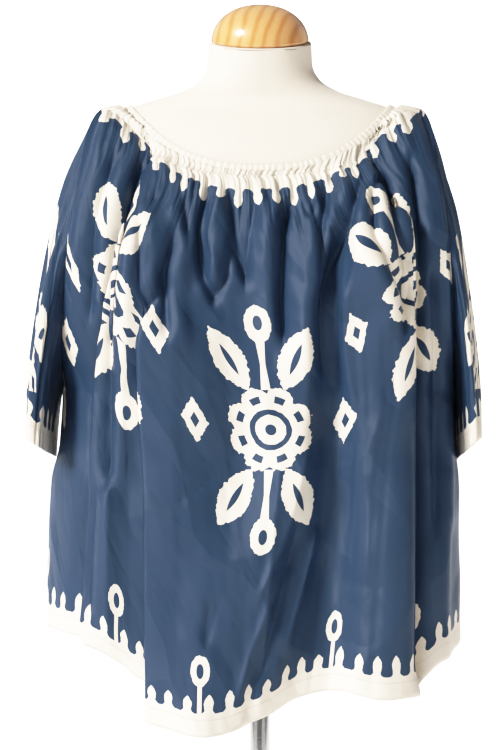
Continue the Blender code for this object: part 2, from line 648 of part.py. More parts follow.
def build():
    clear_scene()
    collection = bpy.data.collections.new("kaftan_blouse_on_dress_form")
    bpy.context.scene.collection.children.link(collection)
    blue = material("blue_cloth", BLUE, 0.62, 0.0)
    cream = material("cream_casing", CREAM, 0.75, 0.0)
    cover = material("form_cover", COVER, 0.85, 0.0)
    pine = material("varnished_pine", PINE, 0.32, 0.0)
    chrome = material("polished_metal", CHROME, 0.12, 1.0)

    _, tree = build_form(collection, cover)
    build_stand(collection, pine, chrome)
    build_casing(collection, cream, tree)
    front = body_rows(-1, tree, FRONT_HEM, FRONT_FOLDS, FRONT_DENSE, FRONT_COLUMNS)
    back = body_rows(1, tree, BACK_HEM, BACK_FOLDS, BACK_DENSE, BACK_COLUMNS)
    add_cloth("front", front, False, collection, blue)
    add_cloth("back", back, False, collection, blue)
    for cuff in CUFFS:
        name = "sleeve_left" if cuff.side < 0 else "sleeve_right"
        add_cloth(name, sleeve_rows(cuff), True, collection, blue)


build()
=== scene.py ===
"""A gathered kaftan blouse on a limbless dress form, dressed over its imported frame.

Metres, +Z up, the front towards -Y. Left and right are as the picture shows them, so left is -X.
The cloth keeps the form of the part's solids, on a grid fine enough for its gathers.
"""
import math
from collections import namedtuple

import bmesh
import bpy
import numpy as np
from mathutils import Euler, Matrix, Vector
from mathutils.bvhtree import BVHTree


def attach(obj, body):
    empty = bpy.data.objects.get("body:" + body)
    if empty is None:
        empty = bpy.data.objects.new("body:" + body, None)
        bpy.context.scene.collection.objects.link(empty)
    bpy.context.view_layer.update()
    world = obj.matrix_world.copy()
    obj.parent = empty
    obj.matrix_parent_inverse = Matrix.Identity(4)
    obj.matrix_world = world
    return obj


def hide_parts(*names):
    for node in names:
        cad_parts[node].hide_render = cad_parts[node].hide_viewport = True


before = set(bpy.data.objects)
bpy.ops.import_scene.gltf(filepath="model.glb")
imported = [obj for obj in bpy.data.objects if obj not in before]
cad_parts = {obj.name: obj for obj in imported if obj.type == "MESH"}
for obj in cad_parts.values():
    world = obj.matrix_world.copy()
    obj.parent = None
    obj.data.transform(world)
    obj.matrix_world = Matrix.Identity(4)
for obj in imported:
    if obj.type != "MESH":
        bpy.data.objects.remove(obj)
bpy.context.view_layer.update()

CLOTH_WALL = 0.0008       # thickness of the shown cloth
FORM_CLEAR = 0.0028       # from the dress form to the middle of the cloth
NECK_CLEAR = 0.0016       # the same beside the casing
CLEAR_GROWS = 0.05        # share of a panel's height over which one turns into the other
SEAM_GAP = 0.0001         # from a panel's edge to the middle of its side seam
EDGE_FLAT = 0.020         # width beside a side seam where a panel's relief dies away
CHEST_EASE = 0.004        # how far the gathered cloth stands off over the chest
UPRIGHT_SWELL = 0.0011    # height of the loose cloth's slight swells, up and down
LEVEL_SWELL = 0.0009      # the same from side to side
ROW_STEPS = 401           # points on which a row of cloth is measured out
SETTLE_ROUNDS = 4         # rounds until a row's folds and hem agree

CASING_HEIGHT = 0.0100
CASING_THICK = 0.0024
CASING_GAP = 0.0009
CASING_LAP = 0.0015       # how far a panel's top edge lies behind the casing's lower one
CASING_BLUNT = 0.55       # how square the casing's section is: 1 is round
CASING_PUCKER = 0.0011    # how far each gather swells the casing
CASING_CHANNEL = 0.12     # share of its thickness that its stitched line takes away
CASING_REACH = 0.160      # half width of the neckline, at the shoulders
CASING_SIDE_Z = 1.399
FRONT_NECK_Z = 1.3166
BACK_NECK_Z = 1.3760
SCOOP = 2.6               # how square the neckline's curve is
NECK_DEPTH = 0.09         # how far the neckline runs forward before it is laid on the form
NECK_BLUNT = 0.9
NECK_HOLD = 0.24          # share of a panel over which it leaves the neckline's shape

CAP_RADIUS = 0.0583
CAP_HEIGHT = 0.0440
CAP_BLUNT = 0.92          # how round the dome is: 1 is an ellipse
CAP_BACK = 0.0050         # from the neck's middle back to the cap's
NECK_TILT = math.radians(13.0)
NECK_TOP_Z = 1.4720
NECK_EDGE = 0.0018        # rounding of the neck's upper edge
TOUCH = 0.0003            # gap left between two pieces of the stand
POLE_RADIUS = 0.0120
BASE_RADIUS = 0.1900
BASE_RIM = 0.0080
BOSS_RADIUS = 0.0320
BOSS_HEIGHT = 0.0450
BOSS_SLOPE = 0.0120       # width over which the boss falls away at its edge
BASE_SPREAD = 1.6
BASE_DISH = 3.0
FORM_BOTTOM_Z = 0.7520

FormRing = namedtuple("FormRing", "name z half_width front back squareness")
FORM_RINGS = [
    FormRing("underside", FORM_BOTTOM_Z, 0.150, 0.098, 0.104, 2.2),
    FormRing("lower_edge", 0.760, 0.161, 0.106, 0.113, 2.2),
    FormRing("hip", 0.810, 0.163, 0.109, 0.116, 2.2),
    FormRing("high_hip", 0.880, 0.147, 0.102, 0.104, 2.2),
    FormRing("below_waist", 0.960, 0.123, 0.094, 0.086, 2.2),
    FormRing("waist", 1.020, 0.115, 0.092, 0.079, 2.2),
    FormRing("ribs", 1.100, 0.127, 0.102, 0.086, 2.2),
    FormRing("under_bust", 1.160, 0.141, 0.113, 0.094, 2.2),
    FormRing("bust", 1.220, 0.158, 0.121, 0.103, 2.2),
    FormRing("chest", 1.280, 0.177, 0.105, 0.107, 2.3),
    FormRing("arm_cap", 1.325, 0.187, 0.088, 0.102, 2.3),
    FormRing("cap_top", 1.358, 0.185, 0.072, 0.092, 2.2),
    FormRing("shoulder_end", 1.379, 0.176, 0.059, 0.080, 2.1),
    FormRing("shoulder", 1.393, 0.157, 0.048, 0.067, 2.0),
    FormRing("shoulder_mid", 1.404, 0.124, 0.045, 0.062, 2.0),
    FormRing("neck_side", 1.414, 0.093, 0.047, 0.062, 2.0),
    FormRing("neck_base", 1.428, 0.071, 0.050, 0.064, 2.0),
    FormRing("neck", 1.447, 0.0624, 0.053, 0.066, 2.0),
    FormRing("neck_top", 1.500, 0.0605, 0.056, 0.065, 2.0),
]

# The seam at the side of a body panel: shoulder, armhole, underarm, side seam.
# drop is the share of the panel's height, and out is the distance from the middle.
SeamPoint = namedtuple("SeamPoint", "name drop left_out right_out left_z right_z")
SIDE_SEAM = [
    SeamPoint("neckline", 0.000, 0.1660, 0.1660, 1.3990, 1.3990),
    SeamPoint("shoulder_end", 0.035, 0.1890, 0.1930, 1.3935, 1.3925),
    SeamPoint("armhole_top", 0.080, 0.2030, 0.2035, 1.3690, 1.3690),
    SeamPoint("armhole_chest", 0.145, 0.2095, 0.2085, 1.3292, 1.3292),
    SeamPoint("armhole_upper", 0.215, 0.2165, 0.2155, 1.2836, 1.2836),
    SeamPoint("armhole_middle", 0.290, 0.2240, 0.2200, 1.2300, 1.2300),
    SeamPoint("armhole_lower", 0.385, 0.2295, 0.2245, 1.1600, 1.1600),
    SeamPoint("armhole_turn", 0.445, 0.2318, 0.2268, 1.1100, 1.1100),
    SeamPoint("armhole_under", 0.480, 0.2330, 0.2280, 1.0800, 1.0800),
    SeamPoint("underarm", 0.510, 0.2335, 0.2285, 1.0600, 1.0600),
    SeamPoint("below_cuff", 0.610, 0.2385, 0.2300, 0.9950, 0.9950),
    SeamPoint("side", 0.680, 0.2480, 0.2345, 0.9500, 0.9500),
    SeamPoint("side_hip", 0.820, 0.2520, 0.2370, 0.8700, 0.8700),
    SeamPoint("hem", 1.000, 0.2544, 0.2380, 0.7800, 0.7660),
]
SHOULDER_DROP = 0.035
UNDERARM_DROP = 0.510

# Level sections of the whole body of cloth, which run on past the armholes.
Section = namedtuple("Section", "name z left right front back squareness")
SECTIONS = [
    Section("lowest_hem", 0.640, 0.2550, 0.2385, 0.154, 0.148, 2.3),
    Section("side_hem", 0.770, 0.2545, 0.2381, 0.150, 0.144, 2.3),
    Section("hip", 0.870, 0.2520, 0.2370, 0.146, 0.138, 2.4),
    Section("waist", 0.950, 0.2480, 0.2345, 0.142, 0.133, 2.4),
    Section("below_cuff", 0.995, 0.2385, 0.2300, 0.140, 0.130, 2.4),
    Section("underarm", 1.060, 0.2335, 0.2285, 0.139, 0.127, 2.5),
    Section("armhole_under", 1.080, 0.2390, 0.2335, 0.139, 0.126, 2.5),
    Section("armhole_turn", 1.110, 0.2540, 0.2490, 0.139, 0.125, 2.5),
    Section("armhole_lower", 1.160, 0.2720, 0.2670, 0.138, 0.123, 2.5),
    Section("armhole_middle", 1.230, 0.2790, 0.2740, 0.136, 0.120, 2.5),
    Section("chest", 1.284, 0.2600, 0.2570, 0.126, 0.116, 2.4),
    Section("high_chest", 1.329, 0.2330, 0.2315, 0.112, 0.108, 2.3),
    Section("shoulder", 1.369, 0.2110, 0.2115, 0.090, 0.090, 2.2),
    Section("shoulder_end", 1.393, 0.1890, 0.1930, 0.060, 0.062, 2.0),
    Section("neckline", 1.399, 0.1660, 0.1660, 0.045, 0.050, 2.0),
]

# The hem's height across a panel, from the left side seam to the right one.
HemPoint = namedtuple("HemPoint", "name across z")
FRONT_HEM = [
    HemPoint("left_side", 0.00, 0.780),
    HemPoint("before_first_lap", 0.11, 0.774),
    HemPoint("before_second_lap", 0.21, 0.742),
    HemPoint("after_second_lap", 0.29, 0.684),
    HemPoint("lowest", 0.37, 0.670),
    HemPoint("middle", 0.50, 0.688),
    HemPoint("rise", 0.58, 0.709),
    HemPoint("high", 0.68, 0.717),
    HemPoint("second_low", 0.78, 0.708),
    HemPoint("right_turn", 0.85, 0.713),
    HemPoint("right_vent", 0.91, 0.744),
    HemPoint("right_side", 1.00, 0.766),
]
BACK_HEM = [
    HemPoint("left_side", 0.00, 0.780),
    HemPoint("left_turn", 0.12, 0.750),
    HemPoint("left_low", 0.32, 0.700),
    HemPoint("middle", 0.50, 0.690),
    HemPoint("right_low", 0.70, 0.702),
    HemPoint("right_turn", 0.90, 0.738),
    HemPoint("right_side", 1.00, 0.766),
]

# A fold runs down through three places (x, z). depth is outwards when positive. lap is how far
# the cloth doubles back on itself: the right layer is on top, or the left one when lap is
# negative. across is the share of the panel's width that follows a long fold all the way down,
# and a fold without depth only guides the width.
Fold = namedtuple("Fold", "name across x_top z_top x_mid z_mid x_low z_low depth width lap")
FRONT_FOLDS = [
    Fold("first_lap", 0.13, -0.150, 1.290, -0.176, 1.120, -0.200, 0.720, 0.019, 0.020, 0.014),
    Fold("second_lap", 0.27, -0.128, 1.180, -0.121, 0.950, -0.121, 0.600, 0.021, 0.026, 0.017),
    Fold("hook", None, -0.060, 1.290, -0.066, 1.235, -0.050, 1.190, -0.007, 0.014, 0.0),
    Fold("middle_crease", None, -0.030, 1.290, -0.030, 1.250, -0.018, 1.210, -0.006, 0.012, 0.0),
    Fold("middle_valley", 0.55, 0.040, 1.200, 0.062, 1.020, 0.018, 0.600, 0.0, 0.026, 0.0),
    Fold("long_diagonal", None, 0.103, 1.290, 0.085, 1.210, 0.070, 1.120, -0.007, 0.016, 0.0),
    Fold("right_ridge", None, 0.128, 1.280, 0.124, 1.190, 0.105, 1.130, 0.010, 0.020, 0.0),
    Fold("right_crease", None, 0.150, 1.290, 0.155, 1.190, 0.165, 1.120, -0.010, 0.014, 0.0),
    Fold("right_turn", 0.84, 0.172, 1.330, 0.168, 1.000, 0.167, 0.600, 0.026, 0.017, -0.014),
    Fold("right_edge", None, 0.214, 1.150, 0.214, 0.950, 0.214, 0.600, 0.006, 0.013, 0.0),
]
BACK_FOLDS = [
    Fold("left_valley", 0.15, -0.180, 1.240, -0.184, 1.000, -0.190, 0.600, -0.016, 0.018, 0.0),
    Fold("left_ridge", None, -0.140, 1.260, -0.146, 1.000, -0.150, 0.600, 0.010, 0.024, 0.0),
    Fold("back_lap", 0.37, -0.075, 1.220, -0.082, 1.000, -0.090, 0.600, 0.017, 0.030, 0.016),
    Fold("centre_swell", None, 0.010, 1.280, 0.005, 1.000, 0.000, 0.600, 0.010, 0.040, 0.0),
    Fold("centre_valley", 0.62, 0.060, 1.180, 0.070, 1.000, 0.074, 0.600, -0.015, 0.022, 0.0),
    Fold("right_ridge", None, 0.110, 1.260, 0.122, 1.000, 0.126, 0.600, 0.011, 0.026, 0.0),
    Fold("right_valley", 0.84, 0.165, 1.240, 0.172, 1.000, 0.176, 0.600, -0.016, 0.018, 0.0),
]

# The wide slanting drape of the front: at each height where it starts, its crest, the bottom of
# its steep valley and the panel beyond, with the crest's rise and the valley's fall.
Drape = namedtuple("Drape", "z start crest valley end rise fall")
FRONT_DRAPE = [
    Drape(0.600, -0.140, -0.075, 0.045, 0.110, 0.017, 0.014),
    Drape(0.700, -0.120, -0.055, 0.065, 0.120, 0.018, 0.016),
    Drape(0.773, -0.110, -0.040, 0.074, 0.125, 0.018, 0.018),
    Drape(0.864, -0.090, -0.017, 0.080, 0.125, 0.016, 0.019),
    Drape(0.978, -0.040, 0.040, 0.085, 0.120, 0.012, 0.017),
    Drape(1.126, 0.000, 0.057, 0.085, 0.098, 0.008, 0.012),
    Drape(1.200, 0.020, 0.066, 0.088, 0.100, 0.003, 0.004),
    Drape(1.250, 0.030, 0.070, 0.090, 0.105, 0.000, 0.000),
]
BACK_DRAPE = [
    Drape(0.600, -0.040, 0.020, 0.085, 0.120, 0.008, 0.012),
    Drape(0.900, -0.020, 0.030, 0.080, 0.105, 0.008, 0.012),
    Drape(1.100, 0.000, 0.035, 0.070, 0.090, 0.005, 0.006),
    Drape(1.220, 0.010, 0.040, 0.065, 0.085, 0.000, 0.000),
]
FOLD_FADE = 0.070         # height over which a fold grows in and dies away
LAP_RELAX = 0.085         # width over which the upper layer of a lap settles back
GUIDE_START = 0.30        # share of the panel's height where the long folds take their places
GUIDE_ROOM = 0.45         # least share of its even place that a long fold keeps from an end
EDGE_HOLD = 0.030         # width beside a side seam where the folds die away
CREASE_FADE = 0.036       # height over which a crease grows in and dies away
CREASE_SHARP = 1.25       # how sharp a crease is at its bottom: 2 is round
CREASE_SCALE = 1.25
RIDGE_SHARE = 0.55        # height of the ridge beside a crease, as a share of its depth
RIDGE_OFF = 2.4           # how far off it stands, in widths of the crease
RIDGE_WIDE = 1.9
PRESS_FADE = 0.40         # share of a pressed line over which it fades at each end

PRINT_SLOPE = 1.6         # steepest run against fall that the print's height follows
PRINT_TOP = 0.040         # the print's own height at the neckline
PRINT_EVEN = 0.08         # fall over which the print keeps to even shares of the width
PRINT_SETTLE = 0.20       # fall over which it changes to the measured width
SLEEVE_PRINT = (0.005, 0.020)    # the print's place at a sleeve's shoulder

# Creases run down through places (x, z). depth lifts the cloth, or sinks it when negative, and
# ridge says on which side of a sunk line the cloth stands up: -1 left, 1 right, 0 neither.
Crease = namedtuple("Crease", "name places depth width ridge")
FRONT_CREASES = [
    Crease("left_hook", [(-0.139, 1.262), (-0.137, 1.181), (-0.127, 1.160)], -0.006, 0.006, 1),
    Crease("left_hook_back", [(-0.112, 1.200), (-0.118, 1.172), (-0.128, 1.158)], -0.005, 0.006, -1),
    Crease("short_pull", [(-0.087, 1.275), (-0.084, 1.235)], -0.006, 0.005, -1),
    Crease("left_drop", [(-0.100, 1.235), (-0.109, 1.190), (-0.106, 1.120)], -0.008, 0.006, 1),
    Crease("big_hook", [(-0.062, 1.285), (-0.070, 1.245), (-0.065, 1.195), (-0.054, 1.168)],
           -0.010, 0.006, 1),
    Crease("big_hook_back", [(-0.034, 1.225), (-0.041, 1.190), (-0.054, 1.166)], -0.008, 0.006, -1),
    Crease("middle_left", [(-0.034, 1.282), (-0.030, 1.235), (-0.017, 1.188)], -0.008, 0.005, -1),
    Crease("middle_back", [(-0.008, 1.270), (-0.013, 1.230), (-0.018, 1.185)], -0.005, 0.006, 1),
    Crease("middle_right", [(0.036, 1.280), (0.026, 1.235), (0.024, 1.175), (0.026, 1.120)],
           -0.011, 0.006, -1),
    Crease("thin_right", [(0.077, 1.290), (0.070, 1.240), (0.066, 1.205)], -0.007, 0.005, -1),
    Crease("long_diagonal", [(0.114, 1.292), (0.104, 1.258), (0.088, 1.225), (0.075, 1.190),
                             (0.068, 1.150), (0.070, 1.090)], -0.012, 0.007, -1),
    Crease("right_pull", [(0.129, 1.295), (0.130, 1.243), (0.143, 1.212), (0.160, 1.170)],
           -0.010, 0.006, -1),
    Crease("right_shine", [(0.128, 1.236), (0.112, 1.200), (0.100, 1.155)], 0.006, 0.010, 0),
    Crease("right_edge", [(0.143, 1.312), (0.156, 1.250), (0.166, 1.195), (0.165, 1.130)],
           -0.010, 0.007, -1),
    Crease("first_lap_line", [(-0.140, 1.318), (-0.152, 1.270), (-0.166, 1.215), (-0.173, 1.120),
                              (-0.176, 0.960)], -0.012, 0.007, 1),
    Crease("far_left_line", [(-0.170, 1.330), (-0.190, 1.250), (-0.196, 1.150)], -0.006, 0.006, 1),
    Crease("low_left_line", [(-0.192, 0.950), (-0.197, 0.860), (-0.199, 0.800)], -0.006, 0.006, 1),
    Crease("low_left_shine", [(-0.172, 0.955), (-0.174, 0.780)], 0.004, 0.007, 0),
    Crease("low_middle_shine", [(0.022, 0.980), (-0.002, 0.700)], 0.005, 0.012, 0),
    Crease("slant_high", [(0.052, 0.985), (0.030, 0.900), (-0.004, 0.820)], 0.005, 0.008, 0),
    Crease("slant_middle", [(0.064, 0.895), (0.050, 0.840), (0.030, 0.770)], 0.007, 0.007, 0),
    Crease("slant_low", [(0.024, 0.850), (0.000, 0.790), (-0.030, 0.715)], 0.005, 0.008, 0),
    Crease("slant_line", [(0.040, 0.900), (0.020, 0.820), (0.000, 0.735)], -0.005, 0.006, 1),
    Crease("turn_shadow", [(0.176, 1.325), (0.184, 1.230), (0.186, 1.000), (0.186, 0.730)],
           -0.013, 0.006, 0),
    Crease("right_far_line", [(0.200, 1.200), (0.204, 1.050), (0.205, 0.900)], -0.006, 0.006, 1),
    Crease("bottom_line", [(-0.060, 0.820), (-0.066, 0.770)], -0.003, 0.007, 0),
]
BACK_CREASES = [
    Crease("far_left", [(-0.128, 1.340), (-0.140, 1.270), (-0.146, 1.190)], -0.009, 0.006, 1),
    Crease("left_hook", [(-0.088, 1.345), (-0.094, 1.270), (-0.078, 1.215)], -0.008, 0.006, 1),
    Crease("left_hook_back", [(-0.052, 1.300), (-0.062, 1.250), (-0.078, 1.213)], -0.006, 0.006, -1),
    Crease("middle_left", [(-0.022, 1.355), (-0.030, 1.280), (-0.026, 1.200), (-0.034, 1.090)],
           -0.010, 0.006, 1),
    Crease("middle", [(0.016, 1.352), (0.010, 1.290), (0.018, 1.240)], -0.006, 0.005, -1),
    Crease("middle_right", [(0.050, 1.350), (0.058, 1.280), (0.050, 1.190), (0.056, 1.080)],
           -0.011, 0.007, -1),
    Crease("right", [(0.096, 1.342), (0.102, 1.270), (0.118, 1.205)], -0.008, 0.006, -1),
    Crease("far_right", [(0.136, 1.340), (0.146, 1.250), (0.150, 1.160)], -0.009, 0.006, -1),
    Crease("low_left", [(-0.034, 1.060), (-0.044, 0.900), (-0.040, 0.720)], 0.005, 0.012, 0),
    Crease("low_right", [(0.130, 1.080), (0.140, 0.900), (0.138, 0.740)], -0.006, 0.008, -1),
    Crease("low_middle", [(0.030, 0.990), (0.022, 0.720)], -0.005, 0.009, 1),
]

# Lines pressed in while the blouse lay folded: from (x0, z0) to (x1, z1), sideways or on a slant.
Press = namedtuple("Press", "x0 z0 x1 z1 depth width")
FRONT_PRESSES = [
    Press(0.048, 1.274, 0.056, 1.256, -0.0040, 0.0040),
    Press(0.056, 1.256, 0.067, 1.274, -0.0040, 0.0040),
    Press(-0.103, 0.930, -0.050, 0.968, -0.0030, 0.0060),
    Press(-0.094, 0.872, -0.016, 0.866, 0.0030, 0.0070),
    Press(-0.063, 0.775, -0.050, 0.826, -0.0025, 0.0060),
    Press(-0.120, 1.010, -0.060, 1.050, 0.0030, 0.0120),
    Press(0.020, 1.060, 0.070, 1.010, -0.0030, 0.0100),
    Press(0.096, 0.960, 0.160, 0.972, 0.0020, 0.0070),
    Press(0.090, 0.842, 0.150, 0.836, -0.0020, 0.0070),
]
BACK_PRESSES = [
    Press(-0.120, 0.950, -0.040, 0.975, -0.0030, 0.0070),
    Press(0.010, 0.880, 0.090, 0.872, 0.0030, 0.0080),
    Press(-0.100, 1.060, -0.020, 1.030, -0.0025, 0.0100),
]

# The gathers under the casing, in families: how many across a panel, how high they stand, where
# they start below the casing, where they start to fade and where they are gone.
GatherFamily = namedtuple("GatherFamily", "count height start fade gone")
FRONT_GATHERS = [
    GatherFamily(58, 0.0032, -0.020, 0.024, 0.090),
    GatherFamily(27, 0.0060, 0.004, 0.030, 0.150),
    GatherFamily(13, 0.0050, 0.020, 0.060, 0.200),
]
BACK_GATHERS = [
    GatherFamily(52, 0.0024, -0.020, 0.010, 0.052),
    GatherFamily(25, 0.0034, 0.004, 0.030, 0.120),
    GatherFamily(11, 0.0065, 0.020, 0.080, 0.250),
]
GATHER_WANDER = 0.010     # how far gathers stray from even places, as a share of the width
GATHER_SWAY = 0.16        # how far thirty gathers sway on their way down, in gathers
GATHER_ROUND = 0.5        # how full a ridge is: 1 is a plain wave
GATHER_GROWS = 0.025      # height over which a family grows in

# The two body panels, with the size of their cut and the grid that they are laid on.
Panel = namedtuple("Panel", "name node facing neck_z hem folds drape creases presses gathers"
                            " cut columns rows seed")
PANELS = [
    Panel("front_panel", "front", -1, FRONT_NECK_Z, FRONT_HEM, FRONT_FOLDS, FRONT_DRAPE,
          FRONT_CREASES, FRONT_PRESSES, FRONT_GATHERS, (0.66, 0.72), 330, 140, 100),
    Panel("back_panel", "back", 1, BACK_NECK_Z, BACK_HEM, BACK_FOLDS, BACK_DRAPE,
          BACK_CREASES, BACK_PRESSES, BACK_GATHERS, (0.64, 0.72), 300, 120, 300),
]

# A sleeve hangs flat at the side: its cuff is a narrow loop that runs from front to back.
Cuff = namedtuple("Cuff", "side middle half_thick half_length z slope lean")
CUFFS = [
    Cuff(-1, 0.2630, 0.0150, 0.112, 0.9880, 0.10, 0.010),
    Cuff(1, 0.2485, 0.0125, 0.110, 0.9840, 0.14, 0.011),
]
SLEEVE_START = -0.0008    # from the armhole's edge out to the sleeve's, at the shoulder
SLEEVE_APART = 0.0012     # the same at the underarm
SLEEVE_TURN = 0.68        # share of the sleeve's outward run made by its bend
SLEEVE_SAG = 0.27         # share of its fall made by then
SLEEVE_CUT = (0.60, 0.42)
SLEEVE_COLUMNS = 220
SLEEVE_ROWS = 90
SLEEVE_SEED = 500
CUFF_BLUNT = 0.8          # how blunt a cuff's loop is across: 1 is an ellipse
CUFF_END_BLUNT = 0.9      # the same at its front and back

# Folds of a sleeve: the place round it (0 shoulder, 0.5 front, 1 underarm, 1.5 back) at its top
# and at its cuff, the share of its length where it starts and ends, its height and half width.
SleeveFold = namedtuple("SleeveFold", "top low start end height width")
SLEEVE_FOLDS = {
    -1: [
        SleeveFold(0.10, 0.16, 0.05, 1.05, 0.0050, 0.035),
        SleeveFold(0.24, 0.30, 0.10, 1.08, -0.0055, 0.030),
        SleeveFold(0.36, 0.42, 0.05, 1.08, 0.0050, 0.035),
        SleeveFold(0.55, 0.54, 0.30, 1.08, -0.0050, 0.030),
        SleeveFold(1.96, 1.90, 0.20, 1.08, -0.0045, 0.030),
        SleeveFold(1.84, 1.78, 0.05, 1.08, 0.0050, 0.040),
        SleeveFold(1.66, 1.64, 0.15, 1.08, -0.0050, 0.030),
        SleeveFold(1.50, 1.54, 0.05, 1.08, 0.0040, 0.040),
    ],
    1: [
        SleeveFold(0.06, 0.12, 0.10, 1.08, -0.0045, 0.030),
        SleeveFold(0.20, 0.22, 0.05, 1.08, 0.0045, 0.035),
        SleeveFold(0.33, 0.36, 0.15, 1.08, -0.0045, 0.028),
        SleeveFold(0.47, 0.48, 0.10, 1.08, 0.0035, 0.030),
        SleeveFold(1.90, 1.86, 0.05, 1.08, 0.0050, 0.040),
        SleeveFold(1.74, 1.74, 0.20, 1.08, -0.0050, 0.030),
        SleeveFold(1.58, 1.60, 0.10, 1.08, 0.0045, 0.035),
    ],
}


def smooth(knots, values, at):
    """Read a smooth curve through (knots, values) that never overshoots its points."""
    knots = np.asarray(knots, float)
    values = np.asarray(values, float)
    step = np.diff(knots)
    slope = np.diff(values) / step
    tangent = np.zeros_like(values)
    rising = slope[:-1] * slope[1:] > 0.0
    safe = np.where(rising, slope[:-1] + slope[1:], 1.0)
    tangent[1:-1] = np.where(rising, 2.0 * slope[:-1] * slope[1:] / safe, 0.0)
    tangent[0] = slope[0]
    tangent[-1] = slope[-1]
    at = np.clip(np.asarray(at, float), knots[0], knots[-1])
    cell = np.clip(np.searchsorted(knots, at, side="right") - 1, 0, len(step) - 1)
    width = step[cell]
    u = (at - knots[cell]) / width
    return ((2 * u**3 - 3 * u**2 + 1) * values[cell]
            + (u**3 - 2 * u**2 + u) * width * tangent[cell]
            + (3 * u**2 - 2 * u**3) * values[cell + 1]
            + (u**3 - u**2) * width * tangent[cell + 1])


def column(table, name):
    return [getattr(row, name) for row in table]


def ease(value):
    value = np.clip(value, 0.0, 1.0)
    return value * value * (3.0 - 2.0 * value)


def wander(at, seed, longest):
    """A smooth uneven line: a few waves of uneven length, the same in every run."""
    dice = np.random.default_rng(seed)
    total = np.zeros_like(np.asarray(at, float))
    for k in range(5):
        length = longest / (1.0 + 0.8 * k) * dice.uniform(0.8, 1.2)
        total += np.sin(2.0 * math.pi * at / length + dice.uniform(0.0, 6.28)) / (1.0 + k)
    return total / 2.3


def running(steps):
    """The distance run after each of a row of steps, from 0."""
    return np.concatenate([[0.0], np.cumsum(steps)])


def powered(value, power):
    """A value's power, with its sign kept."""
    return np.sign(value) * np.abs(value) ** power


def lay_grid(name, points, maps, closed=False, flipped=False):
    """Lay a flat grid of cloth on a table of points [row, column], with its surface maps."""
    rows, columns = points.shape[0] - 1, points.shape[1] - 1
    form = bmesh.new()
    bmesh.ops.create_grid(form, x_segments=columns, y_segments=rows, size=0.5)
    if flipped:
        bmesh.ops.reverse_faces(form, faces=form.faces[:])
    mesh = bpy.data.meshes.new(name)
    form.to_mesh(mesh)
    form.free()
    flat = np.empty(len(mesh.vertices) * 3)
    mesh.vertices.foreach_get("co", flat)
    flat = flat.reshape(-1, 3)
    low, high = flat.min(axis=0), flat.max(axis=0)
    i = np.rint((flat[:, 0] - low[0]) / (high[0] - low[0]) * columns).astype(int)
    j = np.rint((high[1] - flat[:, 1]) / (high[1] - low[1]) * rows).astype(int)
    mesh.vertices.foreach_set("co", points[j, i].ravel())
    corner = np.empty(len(mesh.loops), dtype=np.int32)
    mesh.loops.foreach_get("vertex_index", corner)
    for key, values in maps.items():
        layer = mesh.uv_layers.new(name=key)
        layer.data.foreach_set("uv", values[j, i][corner].ravel())
    if closed:
        form = bmesh.new()
        form.from_mesh(mesh)
        bmesh.ops.remove_doubles(form, verts=form.verts[:], dist=0.00001)
        form.to_mesh(mesh)
        form.free()
    mesh.update()
    mesh.shade_smooth()
    return mesh


def smooth_mesh(name, form):
    """A smooth mesh from a bmesh, which is freed."""
    mesh = bpy.data.meshes.new(name)
    form.to_mesh(mesh)
    form.free()
    mesh.shade_smooth()
    return mesh


def soften(form, edges, width):
    """Round edges off with a narrow bevel."""
    bmesh.ops.bevel(form, geom=edges, affect="EDGES", offset=width, segments=3, profile=0.5,
                    material=-1)


def add_piece(name, mesh, finish):
    item = bpy.data.objects.new(name, mesh)
    bpy.context.scene.collection.objects.link(item)
    mesh.materials.append(finish)
    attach(item, "root")
    return item


def give_wall(item):
    wall = item.modifiers.new("wall", "SOLIDIFY")
    wall.thickness = CLOTH_WALL
    wall.offset = 0.0
    return item


def form_points(places, columns):
    """Points of the dress form, one row for each place along FORM_RINGS."""
    steps = range(len(FORM_RINGS))
    z, half_width, front, back, squareness = (
        smooth(steps, column(FORM_RINGS, key), places)[:, None]
        for key in ("z", "half_width", "front", "back", "squareness"))
    angle = np.linspace(0.0, 2.0 * math.pi, columns + 1)[None, :]
    angle = np.where(angle == 2.0 * math.pi, 0.0, angle)
    power = 2.0 / squareness
    x = half_width * powered(np.cos(angle), power)
    y = np.where(np.sin(angle) > 0.0, back, front) * powered(np.sin(angle), power)
    return np.stack([x, y, z + 0.0 * x], axis=2)


def keep_clear(point, tree, gap):
    """Move a point out along the form's surface normal until it is a gap away from it."""
    place, normal, _, _ = tree.find_nearest(point)
    away = (Vector(point) - place).dot(normal)
    if away < gap:
        return place + normal * gap
    return point


def neckline(panel, across, tree):
    """Points, normals and away-from-neck directions of the casing's middle line."""
    angle = np.linspace(0.0, math.pi, 181)
    x = -CASING_REACH * np.cos(angle)
    fall = 1.0 - np.abs(x / CASING_REACH) ** SCOOP
    z = CASING_SIDE_Z + (panel.neck_z - CASING_SIDE_Z) * fall
    y = panel.facing * NECK_DEPTH * np.sin(angle) ** NECK_BLUNT
    rests = [tree.find_nearest(p)[:2] for p in zip(x, y, z)]
    line = np.array([place + normal * CASING_GAP for place, normal in rests])
    line[[0, -1], 1] = 0.0
    run = running(np.linalg.norm(np.diff(line, axis=0), axis=1))
    at = np.asarray(across) * run[-1]
    points = np.stack([np.interp(at, run, line[:, k]) for k in range(3)], axis=1)
    ahead = np.gradient(points, axis=0)
    normals = np.array([tree.find_nearest(point)[1] for point in points])
    away = np.cross(ahead, normals) * -panel.facing
    away /= np.linalg.norm(away, axis=1)[:, None]
    return points, normals, away, at


def section_values(facing, z):
    """Left and right half widths, reach and squareness of the body of cloth at heights z."""
    keys = ("left", "right", "front" if facing < 0 else "back", "squareness")
    heights = column(SECTIONS, "z")
    return [smooth(heights, column(SECTIONS, key), z) for key in keys]


